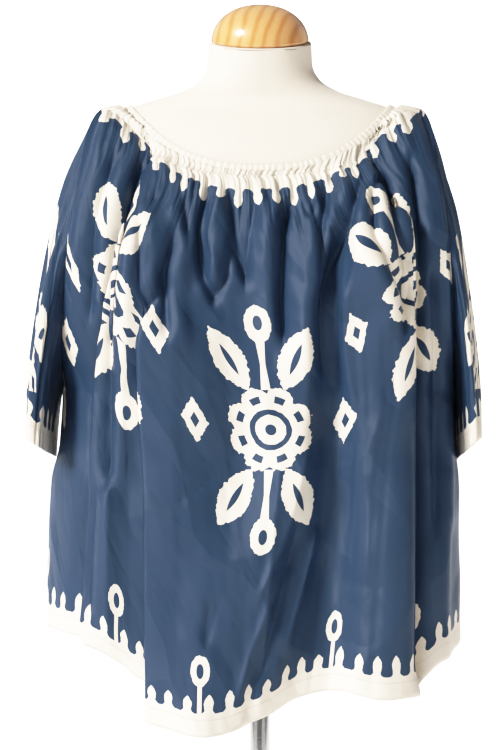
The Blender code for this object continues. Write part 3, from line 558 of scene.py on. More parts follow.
def section_point(facing, angle, z):
    """Where the body of cloth is at height z and at an angle round from its left side."""
    left, right, reach, squareness = section_values(facing, z)
    power = 2.0 / squareness
    wide = np.where(np.cos(angle) > 0.0, left, right)
    return -wide * powered(np.cos(angle), power), facing * reach * np.abs(np.sin(angle)) ** power


def seam_place(side, drop):
    """Distance out, height and section angle of the side seam."""
    drops = column(SIDE_SEAM, "drop")
    hand = "left" if side < 0 else "right"
    out, z = (float(smooth(drops, column(SIDE_SEAM, hand + key), drop)) for key in ("_out", "_z"))
    left, right, _, squareness = section_values(1, z)
    share = min(1.0, out / float(left if side < 0 else right))
    if drop <= SHOULDER_DROP or drop >= UNDERARM_DROP:
        share = 1.0
    angle = math.acos(share ** (float(squareness) / 2.0))
    return out, z, angle


def seam_point(side, facing, drop):
    out, z, angle = seam_place(side, drop)
    _, _, reach, squareness = section_values(facing, z)
    forward = float(reach) * abs(math.sin(angle)) ** (2.0 / float(squareness))
    return np.array([side * out, facing * forward, z])


def fold_x(fold, z):
    return np.interp(z, [fold.z_low, fold.z_mid, fold.z_top], [fold.x_low, fold.x_mid, fold.x_top])


def fold_strength(fold, z):
    grown = ease((fold.z_top - z) / FOLD_FADE)
    return grown * ease((z - fold.z_low) / FOLD_FADE)


def add_fold(fold, distance, strength):
    """Outward and sideways shift of the cloth at a distance to the right of a fold."""
    if fold.lap < 0.0:
        out, shift = add_fold(fold._replace(lap=-fold.lap), -distance, strength)
        return out, -shift
    if fold.lap == 0.0:
        return strength * fold.depth * np.exp(-((distance / fold.width) ** 2)), 0.0 * distance
    along = np.clip(distance / fold.width, -1.0, 1.0)
    rise = 0.5 + 0.5 * np.sin(0.5 * math.pi * along)
    settle = 1.0 - ease((distance - fold.width) / LAP_RELAX)
    return strength * fold.depth * rise * settle, -strength * fold.lap * np.sin(math.pi * along)


def guide_place(fold, drop, x, z, run, share):
    """How far along a row a long fold stands: evenly at the neckline, at its own x lower down."""
    even = fold.across * run[-1]
    place = np.interp(fold_x(fold, np.interp(fold.across, share, z)), x, run)
    place += (even - place) * (1.0 - ease(drop / GUIDE_START))
    least = GUIDE_ROOM * even
    most = run[-1] - GUIDE_ROOM * (run[-1] - even)
    return min(max(place, least), most)


def body_row(panel, drop, across):
    """One row of a body panel, from the left side seam to the right one."""
    left_out, left_z, left_angle = seam_place(-1, drop)
    right_out, right_z, right_angle = seam_place(1, drop)
    low_left = seam_place(-1, 1.0)[1]
    low_right = seam_place(1, 1.0)[1]
    guides = [fold for fold in panel.folds if fold.across is not None]

    share = np.linspace(0.0, 1.0, ROW_STEPS)
    angle = left_angle + (math.pi - left_angle - right_angle) * share
    z = np.linspace(left_z, right_z, ROW_STEPS)
    for _ in range(SETTLE_ROUNDS):
        x, y = section_point(panel.facing, angle, z)
        run = running(np.hypot(np.diff(x), np.diff(y)))
        places = [guide_place(fold, drop, x, z, run, share) for fold in guides]
        share = smooth([0.0] + places + [run[-1]],
                       [0.0] + [fold.across for fold in guides] + [1.0], run)
        part = (x + left_out) / (left_out + right_out)
        scoop = 1.0 - np.abs(2.0 * part - 1.0).clip(0.0, 1.0) ** SCOOP
        hem_sag = (smooth(column(panel.hem, "across"), column(panel.hem, "z"), share)
                   - low_left - (low_right - low_left) * part)
        z = (left_z + (right_z - left_z) * part
             + (1.0 - drop) * (panel.neck_z - CASING_SIDE_Z) * scoop + drop * hem_sag)

    at = np.interp(across, share, run)
    x, y, z, along_x, along_y = (np.interp(at, run, values) for values in
                                 (x, y, z, np.gradient(x, run), np.gradient(y, run)))
    size = np.hypot(along_x, along_y)
    along_x, along_y = along_x / size, along_y / size
    outward = np.zeros_like(at)
    sideways = np.zeros_like(at)
    for fold in panel.folds:
        if fold.across is None:
            place = np.interp(fold_x(fold, z), x, at)
        else:
            place = np.interp(fold.across, across, at)
        out, shift = add_fold(fold, at - place, fold_strength(fold, z))
        outward += out
        sideways += shift
    hold = ease(np.minimum(at, at[-1] - at) / EDGE_HOLD)
    outward *= hold
    sideways *= hold
    return np.stack([x + sideways * along_x - panel.facing * outward * along_y,
                     y + sideways * along_y + panel.facing * outward * along_x, z], axis=1)


def outward_normals(points, facing):
    """Unit normals of a table of points, out of the blouse."""
    normal = np.cross(np.gradient(points, axis=1), np.gradient(points, axis=0)) * facing
    return normal / np.linalg.norm(normal, axis=2)[:, :, None].clip(1e-9)


def crease_lift(crease, x, z):
    """How far one upright crease lifts the cloth at (x, z); it fades at both ends."""
    place_x, place_z = np.array(crease.places[::-1]).T
    middle = smooth(place_z, place_x, z)
    heights = np.linspace(place_z[0], place_z[-1], 101)
    lean = np.gradient(smooth(place_z, place_x, heights), (place_z[-1] - place_z[0]) / 100.0)
    off = (x - middle) / np.sqrt(1.0 + np.interp(z, heights, lean) ** 2)
    fade = (ease((place_z[-1] - z) / CREASE_FADE + 0.5)
            * ease((z - place_z[0]) / CREASE_FADE + 0.5))
    line = np.exp(-(np.abs(off / crease.width) ** CREASE_SHARP))
    beside = np.exp(-(((off - RIDGE_OFF * crease.ridge * crease.width)
                       / (RIDGE_WIDE * crease.width)) ** 2))
    return CREASE_SCALE * fade * crease.depth * (line - RIDGE_SHARE * abs(crease.ridge) * beside)


def drape_lift(drape, x, z):
    """How far the wide drape lifts the cloth at (x, z): a long slope, then a steep one."""
    heights = column(drape, "z")
    start, crest, valley, end, rise, fall = (
        smooth(heights, column(drape, key), z)
        for key in ("start", "crest", "valley", "end", "rise", "fall"))
    climb = rise * ease((x - start) / (crest - start))
    slide = (rise + fall) * ease((x - crest) / (valley - crest))
    back = fall * ease((x - valley) / (end - valley))
    return climb - slide + back


def press_lift(press, x, z):
    """How far one pressed line lifts the cloth at (x, z)."""
    run, rise = press.x1 - press.x0, press.z1 - press.z0
    length = math.hypot(run, rise)
    along = ((x - press.x0) * run + (z - press.z0) * rise) / length**2
    off = ((x - press.x0) * rise - (z - press.z0) * run) / length
    fade = ease((along + 0.15) / PRESS_FADE) * ease((1.15 - along) / PRESS_FADE)
    return press.depth * fade * np.exp(-np.abs(off / press.width))


def gather_pace(count, across, seed):
    """Which gather a place stands in: they are uneven, and the same for cloth and casing."""
    return count * (across + GATHER_WANDER * wander(across, seed, 0.31))


def gather_lift(family, across, below, seed):
    """How far one family of gathers lifts the cloth: round ridges between narrow valleys."""
    pace = gather_pace(family.count, across, seed)
    sway = GATHER_SWAY * wander(below, seed + 1, 0.17) * family.count / 30.0
    ridge = np.abs(np.sin(math.pi * (pace + sway))) ** GATHER_ROUND
    uneven = (0.70 + 0.60 * wander(pace, seed + 2, 3.1)).clip(0.1, 1.6)
    reach = family.gone * (0.85 + 0.30 * wander(pace, seed + 3, 3.7))
    grown = ease((below - family.start) / GATHER_GROWS)
    kept = 1.0 - ease((below - family.fade) / (reach - family.fade))
    return family.height * uneven * ridge * grown * kept


def lengths(points, axis):
    """Distance run along a table of points, from 0 at its first row or column."""
    steps = np.linalg.norm(np.diff(points, axis=axis), axis=2)
    start = np.zeros_like(np.take(steps, [0], axis=axis))
    return np.concatenate([start, np.cumsum(steps, axis=axis)], axis=axis)


def panel_drops(rows):
    """Shares of a panel's height, with the rows closer under the casing."""
    even = np.linspace(0.0, 1.0, rows + 1)
    return 0.45 * even + 0.55 * even**1.5


def panel_lift(panel, points, wide, below):
    """How far drape, creases, gathers and swells lift a panel's cloth off its long folds."""
    x, z = points[:, :, 0], points[:, :, 2]
    lift = drape_lift(panel.drape, x, z)
    lift = lift + sum(crease_lift(crease, x, z) for crease in panel.creases)
    lift = lift + sum(press_lift(press, x, z) for press in panel.presses)
    lift = lift + CHEST_EASE * ease(below / 0.10) * (1.0 - 0.5 * ease((below - 0.22) / 0.25))
    for number, family in enumerate(panel.gathers):
        lift = lift + gather_lift(family, wide, below, panel.seed + 10 * number)
    upright = wander(wide + 0.05 * below, panel.seed + 50, 0.11) * ease(below / 0.15)
    level = wander(below + 0.4 * wide, panel.seed + 60, 0.23) * ease(below / 0.20)
    lift = lift + UPRIGHT_SWELL * upright + LEVEL_SWELL * level
    edge = np.minimum(wide, 1.0 - wide) * panel.cut[0]
    return lift * ease(edge / EDGE_FLAT)


def print_places(panel, points, wide):
    """Where a panel's points lie on the flat print."""
    run = lengths(points, 1)
    level_step = np.linalg.norm(np.diff(points[:, :, :2], axis=0), axis=2)
    fall = np.abs(np.diff(points[:, :, 2], axis=0))
    fall = np.hypot(fall, np.minimum(level_step, PRINT_SLOPE * fall))
    fallen = np.concatenate([0.0 * wide[:1], np.cumsum(fall, axis=0)])
    even = wide * panel.cut[0]
    measured = panel.cut[0] / 2.0 + run - run[:, [panel.columns // 2]]
    sideways = even + (measured - even) * ease((fallen - PRINT_EVEN) / PRINT_SETTLE)
    return np.stack([sideways, PRINT_TOP - fallen], axis=2)


def edge_maps(cut, beside_neck, points, below):
    """A sheet's surface maps: its cut, its upper edge, and its lower edge with the way up."""
    hem_run = lengths(points[-1:], 1)[0]
    return {
        "cut": cut,
        "neck_edge": beside_neck,
        "hem_edge": np.stack([hem_run[None, :] + 0.0 * below, below[-1:] - below], axis=2),
    }


def body_panel(panel, tree):
    """Points and surface maps of the front or the back."""
    across = np.linspace(0.0, 1.0, panel.columns + 1)
    drops = panel_drops(panel.rows)
    points = np.array([body_row(panel, drop, across) for drop in drops])
    place, normal, away, at = neckline(panel, across, tree)
    top = place + away * (CASING_HEIGHT / 2.0 - CASING_LAP) + normal * NECK_CLEAR
    hold = (1.0 - ease(drops / NECK_HOLD))[:, None, None]
    points = points + (top - points[0])[None] * hold
    for end, side in ((0, -1), (-1, 1)):
        points[1:, end] = [seam_point(side, panel.facing, drop) for drop in drops[1:]]

    below = lengths(points, 0)
    wide = across[None, :] + 0.0 * below
    cut = print_places(panel, points, wide)
    lift = panel_lift(panel, points, wide, below)
    points = points + outward_normals(points, panel.facing) * lift[:, :, None]
    clear = NECK_CLEAR + (FORM_CLEAR - NECK_CLEAR) * ease(drops / CLEAR_GROWS)
    for r, gap in enumerate(clear):
        points[r] = [keep_clear(point, tree, gap) for point in points[r]]
    points[:, [0, -1], 1] += panel.facing * SEAM_GAP
    beside_neck = np.stack([at[None, :] + 0.0 * below, below], axis=2)
    return points, edge_maps(cut, beside_neck, points, below)


def sleeve_panel(cuff):
    """Points and surface maps of a sleeve, from its armhole down to its cuff."""
    side = cuff.side
    drops = np.linspace(SHOULDER_DROP, UNDERARM_DROP, 121)
    edges = {facing: np.array([seam_point(side, facing, d) for d in drops]) for facing in (-1, 1)}
    run = running(np.linalg.norm(np.diff(edges[-1], axis=0), axis=1))
    around = np.linspace(0.0, 2.0, SLEEVE_COLUMNS + 1)
    turn = np.where(around <= 1.0, around, 2.0 - around)
    facing = np.where(around <= 1.0, -1.0, 1.0)
    at = turn * run[-1]
    start = np.stack([np.where(facing < 0, np.interp(at, run, edges[-1][:, k]),
                               np.interp(at, run, edges[1][:, k])) for k in range(3)], axis=1)
    angle = math.pi * around
    thick = powered(np.cos(angle), CUFF_BLUNT)
    forward = facing * cuff.half_length * np.abs(np.sin(angle)) ** CUFF_END_BLUNT
    end = np.stack([side * (cuff.middle + cuff.half_thick * thick), forward,
                    cuff.z - cuff.slope * forward + cuff.lean * thick], axis=1)
    apart = SLEEVE_START + (SLEEVE_APART - SLEEVE_START) * ease(turn * 1.6 - 0.5)
    begin = start + np.stack([side * apart, 0.0 * apart, 0.0 * apart], axis=1)
    bend = begin + (end - begin) * np.array([SLEEVE_TURN, SLEEVE_TURN, SLEEVE_SAG])
    u = np.linspace(0.0, 1.0, SLEEVE_ROWS + 1)[:, None, None]
    points = (1 - u) ** 2 * begin + 2 * u * (1 - u) * bend + u * u * end

    below = lengths(points, 0)
    wide = around[None, :] + 0.0 * below
    down = u[:, :, 0] + 0.0 * below
    lift = 0.0010 * wander(wide + 0.3 * below, SLEEVE_SEED + side, 0.21) * ease(down / 0.2)
    for fold in SLEEVE_FOLDS[side]:
        place = fold.top + (fold.low - fold.top) * down
        shape = np.exp(-(((wide - place) / fold.width) ** 2))
        grown = ease((down - fold.start) / 0.25)
        lift = lift + fold.height * shape * grown * ease((fold.end - down) / 0.25)
    normal = outward_normals(points, side)
    points = points + normal * lift[:, :, None]
    points[:, -1] = points[:, 0]
    cut = np.stack([wide * SLEEVE_CUT[0] / 2.0 + SLEEVE_PRINT[0], SLEEVE_PRINT[1] - below], axis=2)
    far_from_neck = np.stack([wide, below + 1.0], axis=2)
    return points, edge_maps(cut, far_from_neck, points, below)


def casing_ring(tree, per_gather):
    """Points round the whole neckline, with the share of a gather each one stands at."""
    rings = []
    for panel in PANELS:
        gathers = panel.gathers[0].count
        across = np.linspace(0.0, 1.0, gathers * per_gather + 1)
        place, normal, away, _ = neckline(panel, across, tree)
        phase = gather_pace(gathers, across, panel.seed)
        if panel.facing > 0:
            place, normal, away, phase = place[::-1], normal[::-1], away[::-1], phase[::-1]
        rings.append((place[:-1], normal[:-1], away[:-1], phase[:-1]))
    joined = [np.concatenate([front, back]) for front, back in zip(*rings)]
    return [np.concatenate([values, values[:1]]) for values in joined]


def casing_band(tree, per_gather=6, around=14):
    """The elastic casing: a soft tube round the neckline, puckered by its gathers."""
    place, normal, away, phase = casing_ring(tree, per_gather)
    pucker = np.abs(np.sin(math.pi * phase)) ** 0.6
    uneven = 1.0 + 0.30 * wander(phase, 5, 6.1)
    half = CASING_HEIGHT / 2.0 + 0.0004 * wander(phase, 6, 2.9)
    angle = np.linspace(0.0, 2.0 * math.pi, around + 1)
    angle = np.where(angle == angle[-1], 0.0, angle)
    high = powered(np.cos(angle), CASING_BLUNT)
    out = 0.5 + 0.5 * powered(np.sin(angle), CASING_BLUNT)
    channel = 1.0 - CASING_CHANNEL * np.exp(-(((high - 0.62) / 0.16) ** 2))
    thick = (CASING_THICK * 0.80 + CASING_PUCKER * (pucker * uneven)[None, :]) * channel[:, None]
    points = (place[None] + away[None] * (half[None, :] * high[:, None])[:, :, None]
              + normal[None] * (thick * out[:, None])[:, :, None])
    run = lengths(points[:1], 1)[0]
    wide = run[None, :] + 0.0 * thick
    cut = np.stack([wide, high[:, None] * half[None, :] + 0.0 * wide], axis=2)
    return points, {"cut": cut}


def dress_form_mesh(columns, rows, neck_rows=9):
    """The form's torso and neck in one cover, its top on the slant under the cap."""
    ring_names = column(FORM_RINGS, "name")
    neck_place = ring_names.index("neck")
    body = form_points(np.linspace(0.0, neck_place, rows - neck_rows + 1), columns)
    rim = form_points([neck_place + 0.5], columns)[0]
    rim[:, 2] = NECK_TOP_Z + rim[:, 1] * math.tan(NECK_TILT)
    shares = np.linspace(0.0, 1.0, neck_rows + 1)[1:, None, None]
    points = np.concatenate([body, body[-1:] + shares * (rim - body[-1])[None]])[::-1]
    run = lengths(points[rows // 2:rows // 2 + 1], 1)[0]
    cut = np.stack([run[None, :] + 0.0 * points[:, :, 0], points[:, :, 2]], axis=2)
    mesh = lay_grid("dress_form", points, {"cut": cut}, closed=True)
    form = bmesh.new()
    form.from_mesh(mesh)
    rims = [edge for edge in form.edges if edge.is_boundary]
    bmesh.ops.holes_fill(form, edges=rims, sides=0)
    soften(form, rims, NECK_EDGE)
    bmesh.ops.recalc_face_normals(form, faces=form.faces[:])
    form.to_mesh(mesh)
    form.free()
    mesh.shade_smooth()
    return mesh


def spun(name, outline, steps, soft_edge):
    """Turn an outline of (radius, height) points, run down its outer side, round the Z axis."""
    form = bmesh.new()
    verts = [form.verts.new((radius, 0.0, height)) for radius, height in outline]
    edges = [form.edges.new(pair) for pair in zip(verts, verts[1:])]
    bmesh.ops.spin(form, geom=verts + edges, cent=(0.0, 0.0, 0.0), axis=(0.0, 0.0, 1.0),
                   dvec=(0.0, 0.0, 0.0), angle=2.0 * math.pi, steps=steps, use_merge=True)
    bmesh.ops.remove_doubles(form, verts=form.verts[:], dist=0.00005)
    bmesh.ops.recalc_face_normals(form, faces=form.faces[:])
    sharp = [e for e in form.edges if len(e.link_faces) == 2 and e.calc_face_angle() > 0.6]
    soften(form, sharp, soft_edge)
    return smooth_mesh(name, form)


def neck_cap_mesh():
    """The turned cap: a low dome with a rounded lower edge, tilted with the neck's top."""
    outline = [(0.0, CAP_HEIGHT)]
    for degrees in range(84, 4, -6):
        angle = math.radians(degrees)
        outline.append((CAP_RADIUS * math.cos(angle) ** CAP_BLUNT, CAP_HEIGHT * math.sin(angle)))
    outline += [(CAP_RADIUS, 0.0032), (CAP_RADIUS - 0.0006, 0.0012), (CAP_RADIUS - 0.0018, 0.0),
                (0.0, 0.0)]
    mesh = spun("turned_cap", outline, 96, 0.0008)
    lean = Euler((NECK_TILT, 0.0, 0.0)).to_matrix().to_4x4()
    seat_y = CAP_BACK - TOUCH * math.sin(NECK_TILT)
    seat_z = NECK_TOP_Z + CAP_BACK * math.tan(NECK_TILT) + TOUCH * math.cos(NECK_TILT)
    mesh.transform(Matrix.Translation((0.0, seat_y, seat_z)) @ lean)
    return mesh


def base_mesh():
    """The dished round base, from its boss down to its rim."""
    flat = BOSS_RADIUS - BOSS_SLOPE
    outline = [(0.0, BOSS_HEIGHT), (flat, BOSS_HEIGHT)]
    for share in (0.10, 0.2, 0.3, 0.4, 0.55, 0.7, 0.85, 1.0):
        height = BASE_RIM + (BOSS_HEIGHT - BASE_RIM) * (1.0 - share) ** BASE_DISH
        outline.append((flat + (BASE_RADIUS - BOSS_RADIUS) * share ** BASE_SPREAD, height))
    outline += [(BASE_RADIUS, BASE_RIM - 0.003), (BASE_RADIUS, 0.0), (0.0, 0.0)]
    return spun("stand_base", outline, 128, 0.0012)


def pole_mesh():
    """The pole's tube, from the base's boss up into the form, with softened ends."""
    length = FORM_BOTTOM_Z - BOSS_HEIGHT - 2.0 * TOUCH
    form = bmesh.new()
    bmesh.ops.create_cone(form, cap_ends=True, segments=96, radius1=POLE_RADIUS,
                          radius2=POLE_RADIUS, depth=length)
    rims = [edge for edge in form.edges if abs(edge.verts[0].co.z - edge.verts[1].co.z) < 0.001]
    soften(form, rims, 0.0010)
    bmesh.ops.translate(form, verts=form.verts[:],
                        vec=(0.0, 0.0, BOSS_HEIGHT + TOUCH + length / 2.0))
    return smooth_mesh("stand_pole", form)


class Field:
    """A value that varies over a surface: one socket of a material's node tree."""

    def __init__(self, tree, socket=None):
        self.tree = tree
        self.socket = socket

    def node(self, kind, settings, inputs, output=0):
        """Add a node: its settings first, then the values or links of its sockets."""
        made = self.tree.nodes.new(kind)
        for key, value in settings.items():
            setattr(made, key, value)
        for key, value in inputs.items():
            if isinstance(value, Field):
                self.tree.links.new(value.socket, made.inputs[key])
            else:
                made.inputs[key].default_value = value
        return Field(self.tree, made.outputs[output])

    def maths(self, operation, *values):
        return self.node("ShaderNodeMath", {"operation": operation}, dict(enumerate(values)))

    def __add__(self, other):
        return self.maths("ADD", self, other)

    def __sub__(self, other):
        return self.maths("SUBTRACT", self, other)

    def __rsub__(self, other):
        return self.maths("SUBTRACT", other, self)

    def __mul__(self, other):
        return self.maths("MULTIPLY", self, other)

    def __truediv__(self, other):
        return self.maths("DIVIDE", self, other)

    def __pow__(self, other):
        return self.maths("POWER", self, other)

    def __abs__(self):
        return self.maths("ABSOLUTE", self)

    def __lt__(self, other):
        return self.maths("LESS_THAN", self, other)

    def __gt__(self, other):
        return self.maths("GREATER_THAN", self, other)

    __radd__ = __add__
    __rmul__ = __mul__

    def floor(self):
        return self.maths("FLOOR", self)

    def fraction(self):
        return self.maths("FRACT", self)

    def sine(self):
        return self.maths("SINE", self)

    def either(self, other):
        return self.maths("MAXIMUM", self, other)

    def both(self, other):
        return self.maths("MINIMUM", self, other)

    def clipped(self):
        return self.both(1.0).either(0.0)


def start_finish(name, **constants):
    """A new material, its principled shader and a bare field to grow values from."""
    made = bpy.data.materials.new(name)
    made.use_nodes = True
    shader = made.node_tree.nodes["Principled BSDF"]
    for key, value in constants.items():
        shader.inputs[key.replace("_", " ")].default_value = value
    return made, shader, Field(made.node_tree)


def feed(shader, key, field):
    field.tree.links.new(field.socket, shader.inputs[key])


def parted(vector):
    """The three values of a vector."""
    split = vector.tree.nodes.new("ShaderNodeSeparateXYZ")
    vector.tree.links.new(vector.socket, split.inputs[0])
    return [Field(vector.tree, output) for output in split.outputs]


def surface_map(start, name):
    """The two coordinates of one of the cloth's surface maps, in metres."""
    return parted(start.node("ShaderNodeUVMap", {"uv_map": name}, {}))[:2]


def object_place(start):
    """Where a point of the surface is, in its object's own metres."""
    return start.node("ShaderNodeTexCoord", {}, {}, output=3)


def joined(x, y, z=0.0):
    """A vector from values, for the patterns that read one."""
    start = x if isinstance(x, Field) else y
    return start.node("ShaderNodeCombineXYZ", {}, {0: x, 1: y, 2: z})


def mottle(vector, scale, detail=2.0):
    """Uneven clouds, from 0 to 1."""
    return vector.node("ShaderNodeTexNoise", {"noise_dimensions": "3D"},
                       {"Vector": vector, "Scale": scale, "Detail": detail})


def dice(value, seed):
    """An even random number for each whole value."""
    return value.node("ShaderNodeTexWhiteNoise", {"noise_dimensions": "2D"},
                      {"Vector": joined(value, seed)})


def facets(vector, scale):
    """Uneven cones that meet in straight sharp lines, as in crumpled cloth."""
    return vector.node("ShaderNodeTexVoronoi", {"voronoi_dimensions": "2D"},
                       {"Vector": vector, "Scale": scale})


def blend_colours(factor, low, high):
    return factor.node("ShaderNodeMix", {"data_type": "RGBA"},
                       {"Factor": factor, 6: low, 7: high}, output=2)


def shade(colour, amount):
    """A colour made lighter or darker by a value round 1."""
    grey = joined(amount, amount, amount)
    plain = colour if isinstance(colour, Field) else colour[:3]
    return amount.node("ShaderNodeVectorMath", {"operation": "MULTIPLY"}, {0: plain, 1: grey})


def cover(shader, colour, roughness, height):
    """Feed a shader what varies over its surface, with the relief as a height in metres."""
    feed(shader, "Base Color", colour)
    feed(shader, "Roughness", roughness)
    feed(shader, "Normal", height.node("ShaderNodeBump", {}, {"Height": height, "Distance": 1.0,
                                                              "Strength": 1.0}))


# A toothed border: the height of its band, the spacing, height and half width of the pegs that
# stand on it, and the share of a peg's height where it is fullest.
Border = namedtuple("Border", "band pitch tall wide fullest seed")
HEM_BORDER = Border(0.0262, 0.0240, 0.0215, 0.0054, 0.52, 3.0)
NECK_BORDER = Border(0.0305, 0.0205, 0.0215, 0.0046, 0.62, 11.0)


def border_with_pegs(border, along, inside):
    """The cream border: a band beside an edge, and the row of rounded pegs that stands on it."""
    band, pitch, tall, wide, fullest, seed = border
    jag = mottle(joined(along, inside), 240.0, 1.0) - 0.5
    along = along + jag * 0.0016
    past = inside - band + jag * 0.0012
    cell = (along / pitch).floor()
    size = 0.82 + 0.36 * dice(cell, seed)
    lean = (dice(cell, seed + 7.0) - 0.5) * 0.16
    off = abs(((along / pitch).fraction() - 0.5) * pitch + (dice(cell, seed + 3.0) - 0.5) * 0.005
              + lean * past)
    high = (past / (tall * size)).either(0.0)
    tip = ((high - fullest) / (1.0 - fullest)).clipped() ** 2.0
    waist = (1.0 - high / 0.50).clipped()
    foot = (1.0 - past / 0.0050).clipped() ** 2.0
    pegs = off < (wide * (1.0 - tip) - 0.30 * wide * waist + 0.0045 * foot)
    return (pegs * (high < 1.0)).either(past < 0.0)


def oval(x, y, wide, tall):
    """How far out a place is in an oval: 0 in its middle and 1 on its edge."""
    return (x / wide) ** 2.0 + (y / tall) ** 2.0


def leaf_width(along, half_long, half_wide):
    """Half width of a pointed leaf at a place along it."""
    return half_wide * (1.0 - (along / half_long) ** 2.0)


def flower(x, y, jag):
    """Eight round petals, with a ring, a pip and a seed in each petal left blue."""
    far = (x * x + y * y) ** 0.5
    petal = abs((x.maths("ARCTAN2", y, x) * 4.0).sine())
    head = far < (0.0365 + 0.0070 * petal + jag)
    ring = (far > (0.0150 + jag * 0.2)) * (far < (0.0205 + jag * 0.2))
    seeds = (petal > 0.80) * (far > 0.0275) * (far < 0.0345)
    pip = far < 0.0055
    return head * (1.0 - ring) * (1.0 - seeds) * (1.0 - pip)


def slanting_leaves(x, y, jag):
    """A pointed leaf that leans out from the flower, with a slit in its middle."""
    lean = math.radians(62.0)
    x, y = x - 0.033, y - 0.0690
    along = x * math.cos(lean) + y * math.sin(lean)
    off = abs(y * math.cos(lean) - x * math.sin(lean))
    leaf = off < (leaf_width(along, 0.034, 0.0165) + jag * 0.8)
    slit = off < leaf_width(along, 0.017, 0.0032)
    return leaf * (abs(along) < 0.036) * (1.0 - slit * (abs(along) < 0.017))


def stalked_drops(x, y, jag):
    drop = oval(x, y - 0.1060, 0.0130, 0.0185) < (1.0 + jag * 60.0)
    hollow = oval(x, y - 0.1070, 0.0045, 0.0075) < 1.0
    stalk = (x < (0.0026 + 0.08 * abs(y - 0.066))) * (y > 0.040) * (y < 0.092)
    return (drop * (1.0 - hollow)).either(stalk)


def side_diamonds(x, y, jag):
    x = abs(x - 0.0760)
    diamond = (x / 0.0135 + y / 0.0230) < (1.0 + jag * 45.0)
    eye = (x / 0.0045 + y / 0.0080) < 1.0
    return diamond * (1.0 - eye)


MEDALLION_APART = 0.206
MEDALLION_ROWS = 0.360
MEDALLION_SIZE = 1.15


def medallions(across, up):
    """Cream ornaments on the blue: petalled medallions, every other one a little lower."""
    jag = (mottle(joined(across, up), 190.0, 1.0) - 0.5) * 0.0080
    odd = ((across / MEDALLION_APART).floor() * 0.5).fraction() * 2.0
    lowered = up / MEDALLION_ROWS + 0.25 * odd
    x = abs(((across / MEDALLION_APART).fraction() - 0.5) * (MEDALLION_APART / MEDALLION_SIZE))
    y = abs((lowered + 0.5) * (MEDALLION_ROWS / MEDALLION_SIZE))
    shape = flower(x, y, jag)
    for ornament in (slanting_leaves, stalked_drops, side_diamonds):
        shape = shape.either(ornament(x, y, jag))
    return shape


BUD_PITCH = 0.167
BUD_START = 0.055


def hem_buds(along, above):
    """Drop-shaped buds that stand in a row on short stalks above the hem's border."""
    jag = mottle(joined(along, above), 190.0, 1.0) - 0.5
    off = abs(((along / BUD_PITCH).fraction() - 0.5) * BUD_PITCH)
    bud = oval(off, above - 0.0740, 0.0105, 0.0180) < (1.0 + jag * 0.5)
    hollow = oval(off, above - 0.0740, 0.0040, 0.0085) < 1.0
    stalk = (off < 0.0025) * (above < 0.060)
    return (bud * (1.0 - hollow)).either(stalk)


WEAVE_PITCH = 0.0007
STITCH_PITCH = 0.0026
STITCH_HALF = 0.0004
HEM_STITCH = 0.0190       # from the hem's edge up to its line of sewing
HEM_TURN = 0.0205         # and to the edge that is turned in behind it
PRINT_FROM_HEM = 0.058
PRINT_FROM_NECK = 0.056
PINCH_REACH = 0.13        # how far below the casing the finest pinches reach


def weave_height(u, v):
    """A plain weave's threads, as a height round zero."""
    turn = 2.0 * math.pi / WEAVE_PITCH
    return (u * turn).sine() * (v * turn).sine()


def stitches(off, along):
    """A line of sewing: 1 on its threads."""
    return (abs(off) < STITCH_HALF) * ((along / STITCH_PITCH).fraction() < 0.62)


BLUE = (0.029, 0.053, 0.097, 1.0)
PALE_BLUE = (0.040, 0.068, 0.119, 1.0)
CREAM = (0.790, 0.710, 0.600, 1.0)
JERSEY = (0.790, 0.700, 0.590, 1.0)
EARLY_WOOD = (0.660, 0.370, 0.155, 1.0)
PALE_WOOD = (0.760, 0.450, 0.210, 1.0)
LATE_WOOD = (0.500, 0.215, 0.055, 1.0)
CHROME = (0.560, 0.545, 0.530, 1.0)


def printed_viscose():
    """Blue viscose with cream ornaments and toothed borders, soft and a little lustrous."""
    made, shader, start = start_finish("printed_viscose", Sheen_Weight=0.02, Sheen_Roughness=0.35,
                                       Specular_IOR_Level=0.22)
    u, v = surface_map(start, "cut")
    round_neck, below = surface_map(start, "neck_edge")
    round_hem, above = surface_map(start, "hem_edge")
    at_hem = border_with_pegs(HEM_BORDER, round_hem, above)
    at_neck = border_with_pegs(NECK_BORDER, round_neck, below)
    ornaments = medallions(u, v) * (above > PRINT_FROM_HEM) * (below > PRINT_FROM_NECK)
    on_body = below < 0.9
    buds = hem_buds(round_hem + BUD_START, above) * on_body
    cream = at_hem.either(at_neck).either(ornaments).either(buds)
    cloud = mottle(joined(u, v), 9.0, 3.0)
    slub = mottle(joined(u * 26.0, v * 2.0), 30.0, 2.0)
    blue = blend_colours(cloud * 0.7 + slub * 0.3, BLUE, PALE_BLUE)
    pale = shade(CREAM, 0.94 + 0.08 * cloud + 0.03 * slub)
    stitch = stitches(above - HEM_STITCH, round_hem)
    turned_edge = above < HEM_TURN
    colour = shade(blend_colours(cream, blue, pale), 1.0 - 0.22 * stitch)
    threads = weave_height(u, v)
    crumple = abs(mottle(joined(u + 0.4 * v, 0.55 * v), 17.0, 2.0) - 0.5)
    near_neck = (1.0 - below / PINCH_REACH).clipped()
    pinch = abs(mottle(joined(u * 150.0, v * 9.0), 1.0, 1.0) - 0.5) * near_neck
    height = threads * 0.00004 + slub * 0.00007 - stitch * 0.0003 + turned_edge * 0.00018
    pressed = facets(joined(u + 0.35 * v, 0.6 * v), 12.0)
    height = height + crumple * 0.0065 + pinch * 0.0040 + pressed * 0.0080
    cover(shader, colour, 0.31 + 0.08 * slub + 0.20 * cream, height)
    return made


